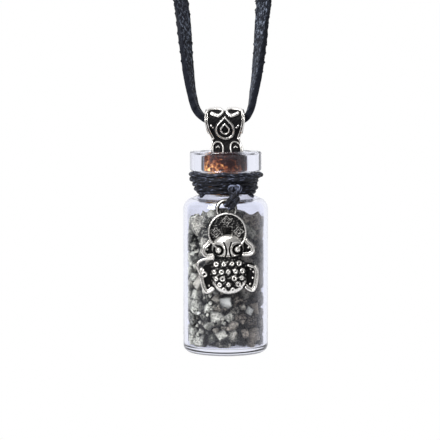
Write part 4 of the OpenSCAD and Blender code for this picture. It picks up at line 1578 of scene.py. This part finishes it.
    def coin(self) -> None:
        """Disc round a square hole: the face runs from the hole's edge outwards, then over the rim and back.

        The hole's edge at angle a is half its side over the larger of |cos a| and |sin a|. Small four-lobed
        rosettes stand on three sides of the hole.
        """
        a = angles(240)
        square = self.hole / 2 / np.maximum(np.abs(np.cos(a)), np.abs(np.sin(a)))
        r = square + (self.coin_r - square) * np.linspace(0, 1, 58)[:, None]
        x, up = r * np.cos(a), r * np.sin(a)
        rim = np.maximum(wire(self.coin_r - 0.24 - r, 0.26, 0.5), wire(self.coin_r - 0.62 - r, 0.13, 0.3))
        border = wire(np.maximum(np.abs(x), np.abs(up)) - self.hole / 2 - 0.24, 0.2, 0.26)
        marks = np.zeros(x.shape)
        for turn in np.radians([0, 90, 180]):
            c, s = np.cos(turn), np.sin(turn)
            along, beside = x * c + up * s - 2.35, up * c - x * s
            reach, way = np.hypot(along, beside), np.arctan2(beside, along)
            for radius, lobe, width in ((0.8, 0.17, 0.15), (0.36, 0.1, 0.13)):
                marks = np.maximum(marks, wire(reach - radius - lobe * np.cos(4 * way), width, 0.24))
        spots = coords(x, up)
        out = 0.84 + np.maximum(np.maximum(rim, border), marks) + 0.02 * ripple(spots, 0.5, 73)
        dull = 0.36 * step_up(0.1, 0.24, marks) + 0.22 * step_up(0.1, 0.26, border)
        tone = np.maximum(step_up(0.34, 0.47, rim) * 0.95, dull)
        tone = np.maximum(tone, 0.3 * np.clip(ripple(spots, 0.6, 77), 0, 1))
        front = self.world(x, up + self.coin_up, out)
        back = self.world(x[[-1, 0]], up[[-1, 0]] + self.coin_up, 0.06)
        self.shell.add_grid(np.concatenate([front, back, front[:1]]), tone=tone[[*range(len(tone)), -1, 0, 0]])

    def leg(self, points: tuple, side: Side, ridges: tuple) -> None:
        """Round ridges side by side along a leg.

        Args:
            points: the leg's table.
            side: left or right.
            ridges: the ridges' table.
        """
        line = evenly(curve_through(np.array(points) * [side.value, 1], 8), 0.1)
        flat = coords(line[:, 0], line[:, 1], 0.0)
        run = unit(np.gradient(flat, axis=0))
        turn = coords(-run[:, 1], run[:, 0], run[:, 2]) * -side.value
        a = angles(16)
        for offset, radius, lift in ridges:
            path, radii = with_round_ends(flat + offset * turn + [0, 0, self.plate + lift], radius)
            spots = coords(path[:, :1], path[:, 1:2], np.cos(a))
            r = radii[:, None] * (1 + 0.06 * ripple(spots, 1.4, 74))
            deep = np.where(np.sin(a) < 0, 2.2, 1.0)
            across = coords(-np.gradient(path[:, 1]), np.gradient(path[:, 0]), 0.0)
            across = np.where(np.linalg.norm(across, axis=1, keepdims=True) > 1e-6, across, [1.0, 0, 0])
            grid = swept(path, across, coords(r * np.cos(a), r * deep * np.sin(a)))
            x, up, out = np.moveaxis(grid, -1, 0)
            tone = step_up(out.max() - 0.26, out.max() - 0.05, out)
            self.shell.add_grid(self.world(x, up, np.maximum(out, 0.1)), tone=tone)

    def web(self, points: tuple, side: Side) -> None:
        """Sunk ground between a leg and the body, from its middle out to its edge, with small knobs.

        Args:
            points: corners of the ground.
            side: left or right.
        """
        corners = np.array([*points, points[0]]) * [side.value, 1]
        middle = corners[:-1].mean(axis=0)
        flat = middle + np.linspace(0, 1, 24)[:, None, None] * (evenly(corners, 0.12) - middle)
        x, up = flat[..., 0], flat[..., 1]
        spot = np.zeros(x.shape)
        for at, height, radius in self.KNOBS + (self.RIGHT_KNOBS if side is Side.RIGHT else ()):
            spot = np.maximum(spot, wire(np.hypot(x - at * side.value, up - height), radius, 1.0))
        out = 0.55 + 0.3 * spot + 0.03 * ripple(flat, 0.5, 75)
        self.add_form(x, up, out, 0.08, 0.75 * step_up(0.3, 0.8, spot), 0.3)

    def ring(self) -> None:
        """Torus: (R + r cos b) round the ring's middle, r sin b out of its plane, bright at its upper front."""
        a, b = angles(64)[:, None], angles(20)
        r = self.ring_r + self.wire_r * np.cos(b)
        up = self.height - self.ring_r - self.wire_r
        grid = self.world(r * np.cos(a), up + r * np.sin(a), self.ring_out + self.wire_r * np.sin(b))
        self.shell.add_grid(grid, tone=0.9 * step_up(0.9, 0.995, np.cos(b - np.radians(80))))

    def foot_curl(self) -> None:
        """Small curl at the top of the left hind leg, a torus that lies on the ground."""
        a, b = angles(32)[:, None], angles(14)
        r = 0.45 + 0.2 * np.cos(b)
        out = np.maximum(self.plate + 0.1 + 0.25 * np.sin(b), 0.2)
        grid = self.world(r * np.cos(a) - 5.15, r * np.sin(a) + 4.4, out)
        self.shell.add_grid(grid, tone=0.5 + 0.45 * np.sin(b))

    def sling_point(self, turn: float = 50.0) -> Array:
        """Where the sling crosses the ring's wire, and the direction out from the ring's middle.

        Args:
            turn: direction from the ring's middle in degrees.

        Returns:
            The place and the direction.
        """
        c, s = np.cos(np.radians(turn)), np.sin(np.radians(turn))
        middle_z = self.top_z - self.ring_r - self.wire_r
        return np.array([[self.ring_r * c, self.back_y - self.ring_out, middle_z + self.ring_r * s], [c, 0, s]])

    def build(self) -> None:
        """Makes the charm as one mesh."""
        self.coin()
        self.ring()
        for side in Side:
            for ground in (self.WEB_FRONT, self.WEB_HIND):
                self.web(ground, side)
            for leg in (self.FRONT_LEG, self.HIND_LEG):
                self.leg(leg, side, self.RIDGES)
        self.leg(self.THIGH, Side.LEFT, self.RIDGES[:1])
        self.leg(self.BAR, Side.RIGHT, self.RIDGES[:1])
        self.foot_curl()
        body = self.outline(self.body_w / 2, 0.46 * self.body_h, 0.56 * self.body_h, 2.7)
        self.domed(0.56 * self.body_h, body, self.body_dome, self.body_relief, 0.0)
        head = self.outline(self.head_w / 2, 2.85, 1.92, 2.2)
        self.domed(self.head_up, head, self.head_dome, self.head_relief, 0.03)
        self.shell.piece("toad_casting", "toad_charm", self.silver)


def main() -> None:
    """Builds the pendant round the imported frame, sub-assembly by sub-assembly."""
    logging.basicConfig(level=logging.INFO, format="%(name)s %(message)s")
    (_, _, base), (radius, _, vial_top) = (corner.tolist() for corner in cad_box("bottle"))
    (_, _, cork_low), (cork_r, _, cork_top) = (corner.tolist() for corner in cad_box("cork"))
    _, charm_back, charm_top = cad_box("toad_charm")[1].tolist()
    # Depth below the cork's top over which the painted shade comes on
    painted_shade_depth = 3.6
    silver, thread = AntiqueSilver().material(), WaxedThread().material()
    cork = NaturalCork((cork_top - painted_shade_depth) * MM, cork_top * MM).material()
    Studio(base).build()
    NeckLoop(SuedeLace().material(), silver).build()
    vial = Vial(SodaLimeGlass().material(), cork, base, vial_top - base, radius, cork_top, cork_low, cork_r)
    vial.glass()
    vial.cork()
    PyriteFill(CrushedPyrite().material(), base).build()
    Bail(silver, cork_top + 0.1).build()
    toad = ToadCharm(silver, charm_back, charm_top)
    toad.build()
    Binding(thread, base, toad.sling_point(), toad.wire_r).build()


if __name__ == "__main__":
    main()
